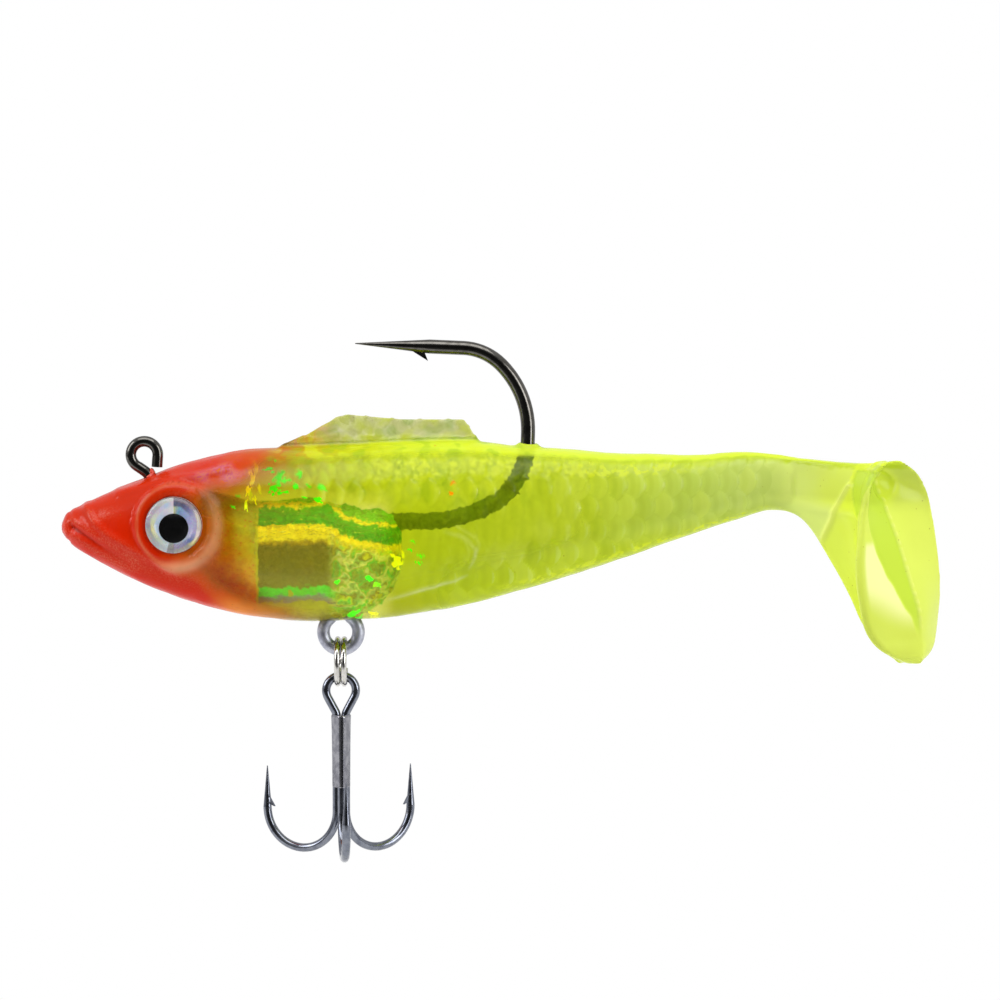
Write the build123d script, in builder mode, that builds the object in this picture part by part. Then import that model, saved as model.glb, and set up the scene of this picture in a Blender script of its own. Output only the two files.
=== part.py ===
"""Paddle-tail swimbait: a soft plastic fish moulded round a foil-wrapped lead keel, with a fixed
jig hook, a wire line tie and a treble hook that hangs from a belly eye on a split ring.

Millimetres. The origin is the centre of the line-tie eye. +X runs from nose to tail, +Z is up,
Y = 0 is the mid-plane and -Y is the lure's left flank.
"""

import os
from math import cos, radians, sin

from build123d import *

# ---------------------------------------------------------------- driving dimensions
# Stations along the soft body: x, top z, bottom z, half width.
BODY_STATIONS = [
    (-8.3, -6.2, -7.9, 0.7),
    (-6.6, -5.2, -9.8, 2.2),
    (-2.5, -3.5, -12.1, 4.1),
    (3.6, -1.2, -14.7, 5.5),
    (11.8, 0.5, -16.8, 6.5),
    (21.0, 1.0, -17.1, 6.6),
    (32.0, 1.5, -15.6, 5.9),
    (42.5, 0.6, -12.7, 4.3),
    (50.0, 0.1, -10.3, 3.1),
    (57.5, 0.0, -7.6, 2.0),
    (64.7, 0.1, -5.5, 1.2),
]
# Dorsal fin in the mid-plane, from its front root over its ridge to its rear root.
FIN_OUTLINE = [
    (13.5, 0.0),
    (17.0, 2.5),
    (20.4, 4.2),
    (33.0, 3.7),
    (34.3, 1.3),
    (33.0, -1.0),
    (15.0, -1.0),
]
FIN_THICKNESS = 1.1

# Lead keel stations: x, top z, bottom z, half width.
LEAD_STATIONS = [
    (-2.2, -6.0, -8.8, 1.3),
    (0.5, -4.2, -10.6, 2.6),
    (4.0, -4.0, -12.2, 3.6),
    (8.0, -5.0, -13.6, 3.5),
    (12.0, -5.7, -15.6, 4.1),
    (17.5, -5.9, -16.1, 4.4),
    (22.0, -6.3, -15.0, 3.5),
    (25.8, -8.4, -12.2, 1.0),
]
FOIL_THICKNESS = 0.15
FOIL_FRONT_X = 11.6
FIT = 0.02  # clearance moulded or cast round each buried piece

# Flexing wrist: the hinge line about which the tail beats.
WRIST_X = 65.5
WRIST_TOP_Z, WRIST_BOTTOM_Z = -0.2, -5.5
WRIST_RADIUS = 1.1
WRIST_GAP = 0.15
TAIL_SET = 40.0  # degrees by which the relaxed tail curls towards the left flank
# Tail levels, with u measured aft from the wrist: z, front u, rim u, rim half width, back u.
TAIL_LEVELS = [
    (-0.2, 0.0, 12.8, 1.4, 14.6),
    (-2.2, 0.0, 13.2, 4.1, 15.4),
    (-5.5, 0.3, 13.3, 5.8, 16.0),
    (-8.8, 4.4, 13.4, 6.5, 16.4),
    (-12.4, 7.0, 13.7, 6.8, 16.8),
    (-15.6, 9.1, 14.0, 6.2, 16.9),
    (-18.4, 11.4, 14.7, 4.5, 16.9),
    (-19.8, 13.4, 15.4, 2.2, 16.9),
    (-20.3, 14.4, 15.6, 0.8, 16.6),
]
FRONT_HALF = 0.35
WEB_HALF = 0.75
ROOT_SHARE, FLARE_SHARE = 0.25, 0.7  # of the way from a level's front to its rim
RIM_THICKNESS = 0.9

# Fixed jig hook: a straight shank, then bends as (radius, turn in degrees) and one straight run.
HOOK_WIRE = 1.46
SHANK_START = (5.0, -6.8)
SHANK_LENGTH = 23.75
FIRST_BENDS = [(14.0, 30.0), (7.0, 58.0)]
HOOK_RISE = 1.3
LAST_BENDS = [(9.5, 47.0), (5.8, 42.6)]
HOOK_POINT_RUN = 3.45
HOOK_POINT = 7.6
TIP_RADIUS = 0.05
# Barb, in wire radii across towards the hook's gap and along towards the tip.
BARB_OUTLINE = [(0.2, 0.9), (2.0, 0.2), (0.75, 2.2), (0.2, 2.6)]
BARB_HALF = 0.3

# Line tie: a loop bent from wire, with a leg cast into the lead.
TIE_WIRE = 1.13
TIE_RADIUS = 1.37
TIE_END, TIE_LEG = -4.0, 236.0  # degrees round the loop where its cut end and its leg run off straight
TIE_END_RUN = 1.15
TIE_LEG_RUN = 0.9
TIE_NECK = 1.6
TIE_DROP = 3.6
TIE_FOOT_BEND = 1.6
TIE_FOOT = 2.6
TIE_LAND_RADIUS = 0.84

# Belly eye: a loop whose two legs open through a neck and run up into the lead.
BELLY_EYE_X, BELLY_EYE_Z = 20.08, -18.25
BELLY_WIRE = 1.3
BELLY_RADIUS = 1.8
BELLY_LEG_OFFSET = 0.7
BELLY_FLARE = 50.0
BELLY_LEG_RUN = 4.2

# Split ring: two turns of wire side by side in a plane across the lure.
RING_WIRE = 0.6
RING_RADIUS = 2.3
RING_OFFSET = 0.34  # half the distance between the turns
RING_JOG = 50.0  # degrees over which the wire crosses from one turn to the other
RING_HANG = 0.75  # from the belly eye's centre down to the ring's top wire

# Treble hook, plumb under the ring.
TREBLE_WIRE = 0.88
TREBLE_SPACING = 0.94  # between the shanks' centres
TREBLE_HANG = 0.81  # from the ring's bottom wire up to the eye's top wire
TREBLE_EYE_RADIUS = 1.53
TREBLE_FLARE = 28.0
TREBLE_NECK = 1.0  # bend radius where the shanks open into the eye
TREBLE_BEND_Z = -36.9
TREBLE_REACH = 8.6  # from the hook's axis to each point
TREBLE_POINT = 4.3
TREBLE_TURN = 5.5  # degrees by which the points are turned from facing square to the left flank
THIRD_TOP_Z = -26.9  # cut end of the hook that is brazed on
BRAZE_TOP_Z, BRAZE_BOTTOM_Z = -27.6, -34.4
BRAZE_SKIN = 0.05

# Eyes: a printed disc and a pupil under a clear dome, in a socket on a raised boss.
EYE_X, EYE_Z = 3.35, -6.82
EYE_RADIUS = 3.0
EYE_FLOOR_Y = 4.6
EYE_BOSS_RADIUS = 3.9
EYE_BOSS_Y = 4.95
EYE_BOSS_DEPTH = 2.0
EYE_DISC = 0.2
PUPIL_RADIUS = 1.52
PUPIL_THICKNESS = 0.06
PUPIL_DROP = 0.3  # the pupil is printed this far below the disc's centre
LENS_RIM = 0.35
LENS_DOME = 0.9

RING_Z = BELLY_EYE_Z - RING_HANG - RING_RADIUS
TREBLE_EYE_Z = RING_Z - RING_RADIUS + TREBLE_HANG - TREBLE_EYE_RADIUS
SHANK_RADIUS = TREBLE_SPACING / (2 * cos(radians(30)))  # from the treble's axis to a shank's centre
TREBLE_BEND = (TREBLE_REACH - SHANK_RADIUS) / 2


# ---------------------------------------------------------------- shared shapes
def compass(degrees):
    """The unit step in a flat plane at an angle from its first axis."""
    return (cos(radians(degrees)), sin(radians(degrees)))


def station_loft(stations, grow=0.0):
    """A solid through elliptical stations along X, each grown by the same margin."""
    with BuildPart() as made:
        for x, top, bottom, half in stations:
            with BuildSketch(Plane.YZ.offset(x)):
                with Locations((0, (top + bottom) / 2)):
                    Ellipse(half + grow, (top - bottom) / 2 + grow)
        loft()
    return made.part


def wire(path, radius):
    """Round wire along a path."""
    with BuildPart() as made:
        with BuildSketch(Plane(origin=path @ 0, z_dir=path % 0)):
            Circle(radius)
        sweep(path=path)
    return made.part


def hook_point(root, way, radius, length, inner):
    """A ground point that tapers from the wire, with a barb cut on its inner side."""
    flat = Plane(origin=root, x_dir=inner, z_dir=inner.cross(way))
    with BuildPart() as made:
        with BuildSketch(Plane(origin=root, z_dir=way)):
            Circle(radius)
        with BuildSketch(Plane(origin=root + way * length, z_dir=way)):
            Circle(TIP_RADIUS)
        loft()
        with BuildSketch(flat):
            with BuildLine():
                Polyline([(across * radius, along * radius) for across, along in BARB_OUTLINE], close=True)
            make_face()
        extrude(amount=BARB_HALF * radius, both=True)
    return made.part


# ---------------------------------------------------------------- wire centre lines
def jig_hook_path():
    """From the buried end of the jig hook's shank to the root of its point."""
    with BuildLine(Plane.XZ) as made:
        Line(SHANK_START, (SHANK_START[0] + SHANK_LENGTH, SHANK_START[1]))
        heading = 0.0
        for radius, turn in FIRST_BENDS:
            JernArc(start=made.line @ 1, tangent=compass(heading), radius=radius, arc_size=turn)
            heading += turn
        PolarLine(made.line @ 1, HOOK_RISE, angle=heading)
        for radius, turn in LAST_BENDS:
            JernArc(start=made.line @ 1, tangent=compass(heading), radius=radius, arc_size=turn)
            heading += turn
        PolarLine(made.line @ 1, HOOK_POINT_RUN, angle=heading)
    return made.wire()


def line_tie_path():
    """From the cut end of the line-tie loop, round the eye and down its leg to its cast-in foot."""
    out_x, out_z = compass(TIE_END)
    cut_end = (TIE_RADIUS * out_x + TIE_END_RUN * out_z, TIE_RADIUS * out_z - TIE_END_RUN * out_x)
    heading = TIE_LEG + 90
    with BuildLine(Plane.XZ) as made:
        PolarLine(cut_end, TIE_END_RUN, angle=TIE_END + 90)
        CenterArc((0, 0), TIE_RADIUS, TIE_END, TIE_LEG - TIE_END)
        PolarLine(made.line @ 1, TIE_LEG_RUN, angle=heading)
        JernArc(start=made.line @ 1, tangent=compass(heading), radius=TIE_NECK, arc_size=270 - heading)
        PolarLine(made.line @ 1, TIE_DROP, angle=270)
        JernArc(start=made.line @ 1, tangent=compass(270), radius=TIE_FOOT_BEND, arc_size=90)
        PolarLine(made.line @ 1, TIE_FOOT, angle=0)
    return made.wire()


def belly_eye_path():
    """Down one leg of the belly eye, out through the neck, round the loop and up the other leg."""
    across, up = compass(BELLY_FLARE)
    neck = (BELLY_RADIUS * across - BELLY_LEG_OFFSET) / (1 - across)
    neck_z = BELLY_EYE_Z + (BELLY_RADIUS + neck) * up
    left = BELLY_EYE_X - BELLY_LEG_OFFSET
    with BuildLine(Plane.XZ) as made:
        Line((left, neck_z + BELLY_LEG_RUN), (left, neck_z))
        JernArc(start=made.line @ 1, tangent=(0, -1), radius=neck, arc_size=-BELLY_FLARE)
        CenterArc((BELLY_EYE_X, BELLY_EYE_Z), BELLY_RADIUS, 180 - BELLY_FLARE, 180 + 2 * BELLY_FLARE)
        way_in = compass(90 + BELLY_FLARE)
        JernArc(start=made.line @ 1, tangent=way_in, radius=neck, arc_size=-BELLY_FLARE)
        PolarLine(made.line @ 1, BELLY_LEG_RUN, angle=90)
    return made.wire()


def split_ring_path():
    """One turn, the crossing on the right flank's side, and a second turn beside the first."""
    turns = []
    for side in (-1, 1):
        with BuildLine(Plane.YZ.offset(BELLY_EYE_X + side * RING_OFFSET)) as turn:
            CenterArc((0, RING_Z), RING_RADIUS, RING_JOG / 2, 360 - RING_JOG)
        turns.append(turn.edge())
    first, second = turns
    with BuildLine() as made:
        add(first)
        middle = Vector(BELLY_EYE_X, RING_RADIUS, RING_Z)
        Spline(first @ 1, middle, second @ 0, tangents=(first % 1, second % 0))
        add(second)
    return made.wire()


def treble_arm(angle, top_z):
    """One hook of the treble about Z: from its point's root, round the bend and up the shank."""
    out = Vector(*compass(angle), 0)
    with BuildLine(Plane(origin=(0, 0, 0), x_dir=out, z_dir=out.cross(Vector(0, 0, 1)))) as made:
        CenterArc((TREBLE_REACH - TREBLE_BEND, TREBLE_BEND_Z), TREBLE_BEND, 0, -180)
        Line((SHANK_RADIUS, TREBLE_BEND_Z), (SHANK_RADIUS, top_z))
    return made.edges()


def twin_hook_path():
    """Two arms of the treble and the eye between them, bent from one wire."""
    flare_x, flare_z = sin(radians(TREBLE_FLARE)), cos(radians(TREBLE_FLARE))
    side, rise = TREBLE_EYE_RADIUS * flare_z, TREBLE_EYE_RADIUS * flare_x
    straight = (side - TREBLE_SPACING / 2 - TREBLE_NECK * (1 - flare_z)) / flare_x
    neck_z = TREBLE_EYE_Z - rise - straight * flare_z - TREBLE_NECK * flare_x
    with BuildLine(Plane.XZ.offset(-SHANK_RADIUS / 2)) as eye:
        start = (-TREBLE_SPACING / 2, neck_z)
        JernArc(start=start, tangent=(0, 1), radius=TREBLE_NECK, arc_size=TREBLE_FLARE)
        PolarLine(eye.line @ 1, straight, angle=90 + TREBLE_FLARE)
        CenterArc((0, TREBLE_EYE_Z), TREBLE_EYE_RADIUS, 180 + TREBLE_FLARE, -180 - 2 * TREBLE_FLARE)
        way_down = 270 - TREBLE_FLARE
        PolarLine(eye.line @ 1, straight, angle=way_down)
        JernArc(start=eye.line @ 1, tangent=compass(way_down), radius=TREBLE_NECK, arc_size=TREBLE_FLARE)
    with BuildLine() as made:
        add(treble_arm(150, neck_z))
        add(eye.edges())
        add(treble_arm(30, neck_z))
    return made.wire()


# ---------------------------------------------------------------- pieces of wire
jig_path, tie_path, belly_path = jig_hook_path(), line_tie_path(), belly_eye_path()
jig_root, jig_way = jig_path @ 1, jig_path % 1

with BuildPart() as single_hook:
    add(wire(jig_path, HOOK_WIRE / 2))
    add(hook_point(jig_root, jig_way, HOOK_WIRE / 2, HOOK_POINT, Vector(0, 0, -1)))

with BuildPart() as line_tie:
    add(wire(tie_path, TIE_WIRE / 2))
    Cylinder(TIE_LAND_RADIUS, TIE_WIRE, rotation=(90, 0, 0), mode=Mode.SUBTRACT)

with BuildPart() as belly_eye:
    add(wire(belly_path, BELLY_WIRE / 2))

with BuildPart() as split_ring:
    add(wire(split_ring_path(), RING_WIRE / 2))


def treble_point(angle):
    """The ground point that stands on the outer end of one arm of the treble."""
    out = Vector(*compass(angle), 0)
    root = out * TREBLE_REACH + Vector(0, 0, TREBLE_BEND_Z)
    return hook_point(root, Vector(0, 0, 1), TREBLE_WIRE / 2, TREBLE_POINT, -out)


def hang_treble(part):
    """Turns a piece of the treble to its angle and hangs it under the belly eye."""
    return part.rotate(Axis.Z, TREBLE_TURN).translate((BELLY_EYE_X, 0, 0))


twin_path = twin_hook_path()
with BuildLine() as third_line:
    add(treble_arm(-90, THIRD_TOP_Z))
third_path = third_line.wire()

with BuildPart() as twin_blank:
    add(wire(twin_path, TREBLE_WIRE / 2))
    for angle in (30, 150):
        add(treble_point(angle))

with BuildPart() as third_blank:
    add(wire(third_path, TREBLE_WIRE / 2))
    add(treble_point(-90))

with BuildPart() as braze_blank:
    with BuildSketch(Plane.XY.offset(BRAZE_BOTTOM_Z)):
        with PolarLocations(SHANK_RADIUS, 3, start_angle=30):
            Circle(TREBLE_WIRE / 2 + BRAZE_SKIN)
        make_hull()
    extrude(amount=BRAZE_TOP_Z - BRAZE_BOTTOM_Z)
    with PolarLocations(SHANK_RADIUS, 3, start_angle=30):
        with Locations((0, 0, (BRAZE_TOP_Z + BRAZE_BOTTOM_Z) / 2)):
            Cylinder(TREBLE_WIRE / 2 + FIT, BRAZE_TOP_Z - BRAZE_BOTTOM_Z, mode=Mode.SUBTRACT)

# ---------------------------------------------------------------- lead keel and its foil
with BuildPart() as lead_weight:
    add(station_loft(LEAD_STATIONS))
    add(wire(jig_path, HOOK_WIRE / 2 + FIT), mode=Mode.SUBTRACT)
    add(wire(tie_path, TIE_WIRE / 2 + FIT), mode=Mode.SUBTRACT)
    add(wire(belly_path, BELLY_WIRE / 2 + FIT), mode=Mode.SUBTRACT)

with BuildPart() as foil_wrap:
    add(station_loft(LEAD_STATIONS, FIT + FOIL_THICKNESS))
    add(station_loft(LEAD_STATIONS, FIT), mode=Mode.SUBTRACT)
    split(bisect_by=Plane.YZ.offset(FOIL_FRONT_X), keep=Keep.TOP)
    add(wire(jig_path, HOOK_WIRE / 2 + FIT), mode=Mode.SUBTRACT)
    add(wire(belly_path, BELLY_WIRE / 2 + FIT), mode=Mode.SUBTRACT)

# ---------------------------------------------------------------- eyes, built up +Z from the socket's floor
SEATED = (Align.CENTER, Align.CENTER, Align.MIN)
DOME_RADIUS = (EYE_RADIUS**2 + LENS_DOME**2) / (2 * LENS_DOME)


def on_flank(part, side):
    """Stands a piece of an eye in its socket: side -1 is the left flank, 1 the right."""
    socket = Plane(origin=(EYE_X, side * EYE_FLOOR_Y, EYE_Z), x_dir=(-side, 0, 0), z_dir=(0, side, 0))
    return part.moved(socket.location)


with BuildPart() as eye_disc:
    with Locations((0, 0, FIT)):
        Cylinder(EYE_RADIUS - FIT, EYE_DISC - FIT, align=SEATED)

with BuildPart() as eye_pupil:
    with Locations((0, -PUPIL_DROP, EYE_DISC)):
        Cylinder(PUPIL_RADIUS, PUPIL_THICKNESS, align=SEATED)

with BuildPart() as eye_lens:
    with Locations((0, 0, EYE_DISC)):
        Cylinder(EYE_RADIUS - FIT, LENS_RIM + LENS_DOME, align=SEATED)
    with Locations((0, 0, EYE_DISC + LENS_RIM + LENS_DOME - DOME_RADIUS)):
        Sphere(DOME_RADIUS, mode=Mode.INTERSECT)
    with Locations((0, -PUPIL_DROP, EYE_DISC)):
        Cylinder(PUPIL_RADIUS + FIT, PUPIL_THICKNESS + FIT, align=SEATED, mode=Mode.SUBTRACT)

with BuildPart() as eye_socket:
    Cylinder(EYE_RADIUS, 2 * EYE_RADIUS, align=SEATED)

with BuildPart() as eye_boss:
    with Locations((0, 0, EYE_BOSS_Y - EYE_FLOOR_Y)):
        Cylinder(EYE_BOSS_RADIUS, EYE_BOSS_DEPTH, align=(Align.CENTER, Align.CENTER, Align.MAX))

# ---------------------------------------------------------------- soft body, moulded round its inserts
with BuildPart() as body_front:
    add(station_loft(BODY_STATIONS))
    with BuildSketch(Plane.XZ):
        with BuildLine():
            Polyline(FIN_OUTLINE, close=True)
        make_face()
    extrude(amount=FIN_THICKNESS / 2, both=True)
    for side in (-1, 1):
        add(on_flank(eye_boss.part, side))
        add(on_flank(eye_socket.part, side), mode=Mode.SUBTRACT)
    add(station_loft(LEAD_STATIONS, 2 * FIT + FOIL_THICKNESS), mode=Mode.SUBTRACT)
    add(wire(jig_path, HOOK_WIRE / 2 + FIT), mode=Mode.SUBTRACT)
    add(wire(tie_path, TIE_WIRE / 2 + FIT), mode=Mode.SUBTRACT)
    add(wire(belly_path, BELLY_WIRE / 2 + FIT), mode=Mode.SUBTRACT)
    with Locations((WRIST_X, 0, (WRIST_TOP_Z + WRIST_BOTTOM_Z) / 2)):
        Cylinder(WRIST_RADIUS + WRIST_GAP, 2 * (WRIST_TOP_Z - WRIST_BOTTOM_Z), mode=Mode.SUBTRACT)

# ---------------------------------------------------------------- tail, built along +X from the wrist
with BuildPart() as straight_tail:
    for z, front, rim, half, back in TAIL_LEVELS:
        root, flare = front + ROOT_SHARE * (rim - front), front + FLARE_SHARE * (rim - front)
        web = [(front, FRONT_HALF), (root, WEB_HALF), (flare, WEB_HALF)]
        flank = web + [(rim, half), (rim + RIM_THICKNESS, half)]
        with BuildSketch(Plane.XY.offset(z)):
            with BuildLine():
                Polyline(*flank, (back, 0), *[(u, -v) for u, v in reversed(flank)], close=True)
            make_face()
    loft(ruled=True)
    with Locations((0, 0, WRIST_BOTTOM_Z)):
        Cylinder(WRIST_RADIUS, WRIST_TOP_Z - WRIST_BOTTOM_Z, align=SEATED)

# ---------------------------------------------------------------- finished pieces
pieces = {
    "body_front": body_front.part,
    "tail": straight_tail.part.rotate(Axis.Z, -TAIL_SET).translate((WRIST_X, 0, 0)),
    "lead_weight": lead_weight.part,
    "foil_wrap": foil_wrap.part,
    "single_hook": single_hook.part,
    "line_tie": line_tie.part,
    "belly_eye": belly_eye.part,
    "split_ring": split_ring.part,
    "treble_twin_hook": hang_treble(twin_blank.part),
    "treble_third_hook": hang_treble(third_blank.part),
    "treble_braze": hang_treble(braze_blank.part),
}
for flank_name, side in (("left", -1), ("right", 1)):
    for piece_name, blank in (("eye_disc", eye_disc), ("eye_pupil", eye_pupil), ("eye_lens", eye_lens)):
        pieces[f"{piece_name}_{flank_name}"] = on_flank(blank.part, side)

os.makedirs("parts", exist_ok=True)
for name, part in pieces.items():
    part.label = name
    export_step(part, f"parts/{name}.step")
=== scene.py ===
"""Looks of a paddle-tail swimbait: one soft skin over body and tail, crumpled foil round the lead keel,
and materials for the hooks, the rings and the eyes. Shapes are worked out in millimetres.
"""

from math import cos, pi, radians, sin

import bmesh
import bpy
import numpy as np
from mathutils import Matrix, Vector, noise


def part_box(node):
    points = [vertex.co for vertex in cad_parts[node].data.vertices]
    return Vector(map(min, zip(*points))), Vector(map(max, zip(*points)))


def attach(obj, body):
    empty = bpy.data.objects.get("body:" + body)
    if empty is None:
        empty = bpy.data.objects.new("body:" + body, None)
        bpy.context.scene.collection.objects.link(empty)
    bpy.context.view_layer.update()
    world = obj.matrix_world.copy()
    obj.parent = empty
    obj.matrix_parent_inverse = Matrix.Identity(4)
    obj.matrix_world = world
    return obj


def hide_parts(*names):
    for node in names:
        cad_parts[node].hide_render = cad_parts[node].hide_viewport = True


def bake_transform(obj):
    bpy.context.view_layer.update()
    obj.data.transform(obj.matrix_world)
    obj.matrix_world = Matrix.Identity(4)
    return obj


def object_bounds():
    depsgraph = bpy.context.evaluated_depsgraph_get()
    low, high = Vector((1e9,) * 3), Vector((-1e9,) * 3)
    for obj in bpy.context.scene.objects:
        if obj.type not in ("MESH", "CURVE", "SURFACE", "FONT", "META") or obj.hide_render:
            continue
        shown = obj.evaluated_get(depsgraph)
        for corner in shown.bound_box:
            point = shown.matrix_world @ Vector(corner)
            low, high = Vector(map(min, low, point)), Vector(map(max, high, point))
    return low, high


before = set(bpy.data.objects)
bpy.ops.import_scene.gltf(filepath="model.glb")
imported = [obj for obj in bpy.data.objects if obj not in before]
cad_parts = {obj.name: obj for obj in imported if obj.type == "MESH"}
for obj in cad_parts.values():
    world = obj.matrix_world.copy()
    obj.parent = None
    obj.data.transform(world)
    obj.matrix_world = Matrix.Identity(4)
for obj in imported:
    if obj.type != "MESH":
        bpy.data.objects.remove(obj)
cad_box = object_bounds()
MM = 0.001
WHITE = (1, 1, 1, 1)
rng = np.random.default_rng(7)

# ---------------------------------------------------------------- driving shapes of the soft body
# The body runs straight first, by distance from the line tie, and the tail is bent afterwards.
TOP_LINE = [(-8.5, -7.1), (-8, -5.9), (-6.6, -5.2), (-4.6, -4.35), (-0.5, -2.6), (3.6, -1.05), (7.7, 0.05),
            (11.8, 0.6), (21, 1), (33, 1.4), (37, 1), (42.6, 0.58), (50.8, 0.05), (56, -0.03),
            (61.5, 0.25), (66.9, -0.15)]
BOTTOM_LINE = [(-8.5, -7.9), (-7.7, -9), (-4.6, -11), (-0.5, -13.05), (3.6, -14.7), (7.7, -15.9),
               (11.8, -16.7), (16.9, -17.05), (23.1, -16.85), (29.2, -16.1), (36.4, -14.5), (44.6, -12.1),
               (52.8, -9.26), (61, -6.49), (64.1, -5.6), (66.9, -5.75)]
HALF_WIDTH = [(-8.5, 0.5), (-7.6, 1.7), (-3, 3.9), (3, 5.2), (10, 6.2), (20, 6.6), (28, 6.3),
              (36, 5.4), (45, 4.2), (55, 2.9), (62, 2), (66.9, 1)]
SECTION_POWER = 2.2
FIN_LINE = [(13, 0.3), (14.4, 1.2), (16.2, 2), (18.1, 3.1), (20.1, 4.1), (20.8, 4.27), (26.2, 3.78),
            (32.8, 3.76), (33.6, 2.6), (34.3, 1.3), (34.4, -0.5), (13, -0.5)]
FIN_HALF = 0.5
FIN_FOOT = [(1.7, -0.8), (1, -0.35), (0.5, 0.05), (0.15, 0.45), (0, 9)]  # flare, height over the back
WRIST = 65.5
TAIL_TURN = radians(-40)
TURN_HALF = 3.5  # the tail bends over this distance on each side of the wrist
# Tail by height: front of the web, paddle rim, half width of the rim and back of the keel, aft of the wrist.
WEB_FRONT = [(-20.3, 14.2), (-19.4, 12.4), (-18.4, 11.3), (-16.45, 9.58), (-14.3, 8.36), (-12.54, 7.14),
             (-10.68, 5.79), (-9, 4.57), (-7.45, 3.34), (-6.38, 2.1), (-5.8, 0.75), (-5.4, -1), (0, -1)]
RIM = [(-20.3, 15.3), (-19.5, 15.1), (-18.7, 14.7), (-17.5, 14.2), (-16, 13.9), (-14, 13.8),
       (-12, 13.6), (-10, 13.4), (-6, 13.2), (-2, 13), (0, 12.6)]
RIM_HALF = [(-20.3, 0.4), (-20, 1.5), (-19.5, 2.8), (-18.7, 4.2), (-17.5, 5.3), (-16, 6.1), (-14, 6.6),
            (-12, 6.8), (-10, 6.7), (-8, 6.35), (-6, 5.9), (-4, 5.3), (-2, 4.1), (-0.9, 2.8),
            (-0.3, 1.6), (0, 0.9)]
KEEL_DEPTH = [(-20.3, 0.6), (-18, 1.6), (-16, 2), (-12, 1.1), (-7.3, -0.4), (-4.5, -1.7), (-2, -2.8),
              (-0.9, -2), (0, -0.3)]
WEB_TOP = [(-4, 0), (4, -0.35), (8.9, -0.5), (11.5, -0.3), (13.5, 0)]  # upper edge, by place aft
WEB_HALF = 0.75
WEB_NOSE = 0.6  # length of the rounded front of the web
RIM_THICK, RIM_BULGE = 0.9, 0.25
TAIL_FOOT = -20.3
VOXEL = 0.2  # of the mesh that joins body, fin and tail

SCALE_PITCH, SCALE_ROW = 1.9, 2.2
SCALE_CREST = 0.86  # where along its length a scale is highest
FIN_ROOT = 1.75  # height at which the thick root steps down to the blade
MOUTH = [(-7.3, -7.3), (-6.2, -7.9), (-4, -9.3), (-1.4, -10.8)]
CHEEK = [(-5.8, -5.3), (-5, -6.6), (-3.7, -7.7), (0.2, -10), (3.6, -11.6)]
BROW = [(-2.5, -3.9), (1.5, -2.6), (5.5, -1.9), (9, -1.2)]
WEB_FOLD = [(9.4, -2.6), (6.9, -5.6), (4.7, -8.9), (5, -10.4)]

EYE = Vector((3.35, 4.6, -6.82))  # centre of the socket's floor on the right flank
EYE_RADIUS = 2.9
PUPIL_RADIUS, PUPIL_DROP = 1.45, -0.3
DISC_TOP = 0.18  # this and the lens's floor stand over the socket's floor
LENS_FLOOR, LENS_RIM, LENS_DOME = 0.3, 0.3, 0.75

# The treble: its place, its turn in degrees and how far its shanks stand from its middle.
TREBLE_X, TREBLE_TURN, TREBLE_SHANK_RADIUS = 20.08, 5.5, 0.543
SLEEVE_LEAST = 0.75  # the sleeve's least radius, just outside the hook's wire
HOOK_EXIT = 39.3  # where the jig hook leaves the back
FLAKE_DEPTH, FLAKE_HALF = 0.75, 0.04  # under the skin, and half the thickness
FOIL_HALF = 4.72  # half of the foil's width
# Foil: the fold along its flank, and scraps as (place, height, width, height, turn, hue from 0 to 1).
FOLD = [(10.5, -7.7), (15, -7.6), (18.5, -7.4), (21, -8.7), (24.6, -9.5), (28, -9.7)]
FOIL_TOP = [(4, -3.6), (8, -4.3), (11, -5), (13, -5.1), (16.5, -4.7), (20, -5.5), (24, -5.8),
            (26.8, -6.2)]
FOIL_BOTTOM = [(4, -12.7), (8, -14.4), (12, -15.9), (18, -16.4), (22, -15.7), (25, -14),
               (26.8, -12.6)]
CREASES = [
    [(30.8, -7.4), (32.3, -7.9), (33.4, -8.7), (33.9, -9.4), (33.6, -10.4), (33.3, -11.3)],
    [(18, -6.1), (19.3, -7.3), (20.2, -8.5), (20.1, -10.6), (19.1, -12.5)],
    [(11, -4.8), (11.4, -7), (11.6, -9.5), (11.3, -12), (10.9, -13.9)],
    [(24.5, -14.6), (28, -13.6), (31, -12.6), (33, -12)],
]
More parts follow.
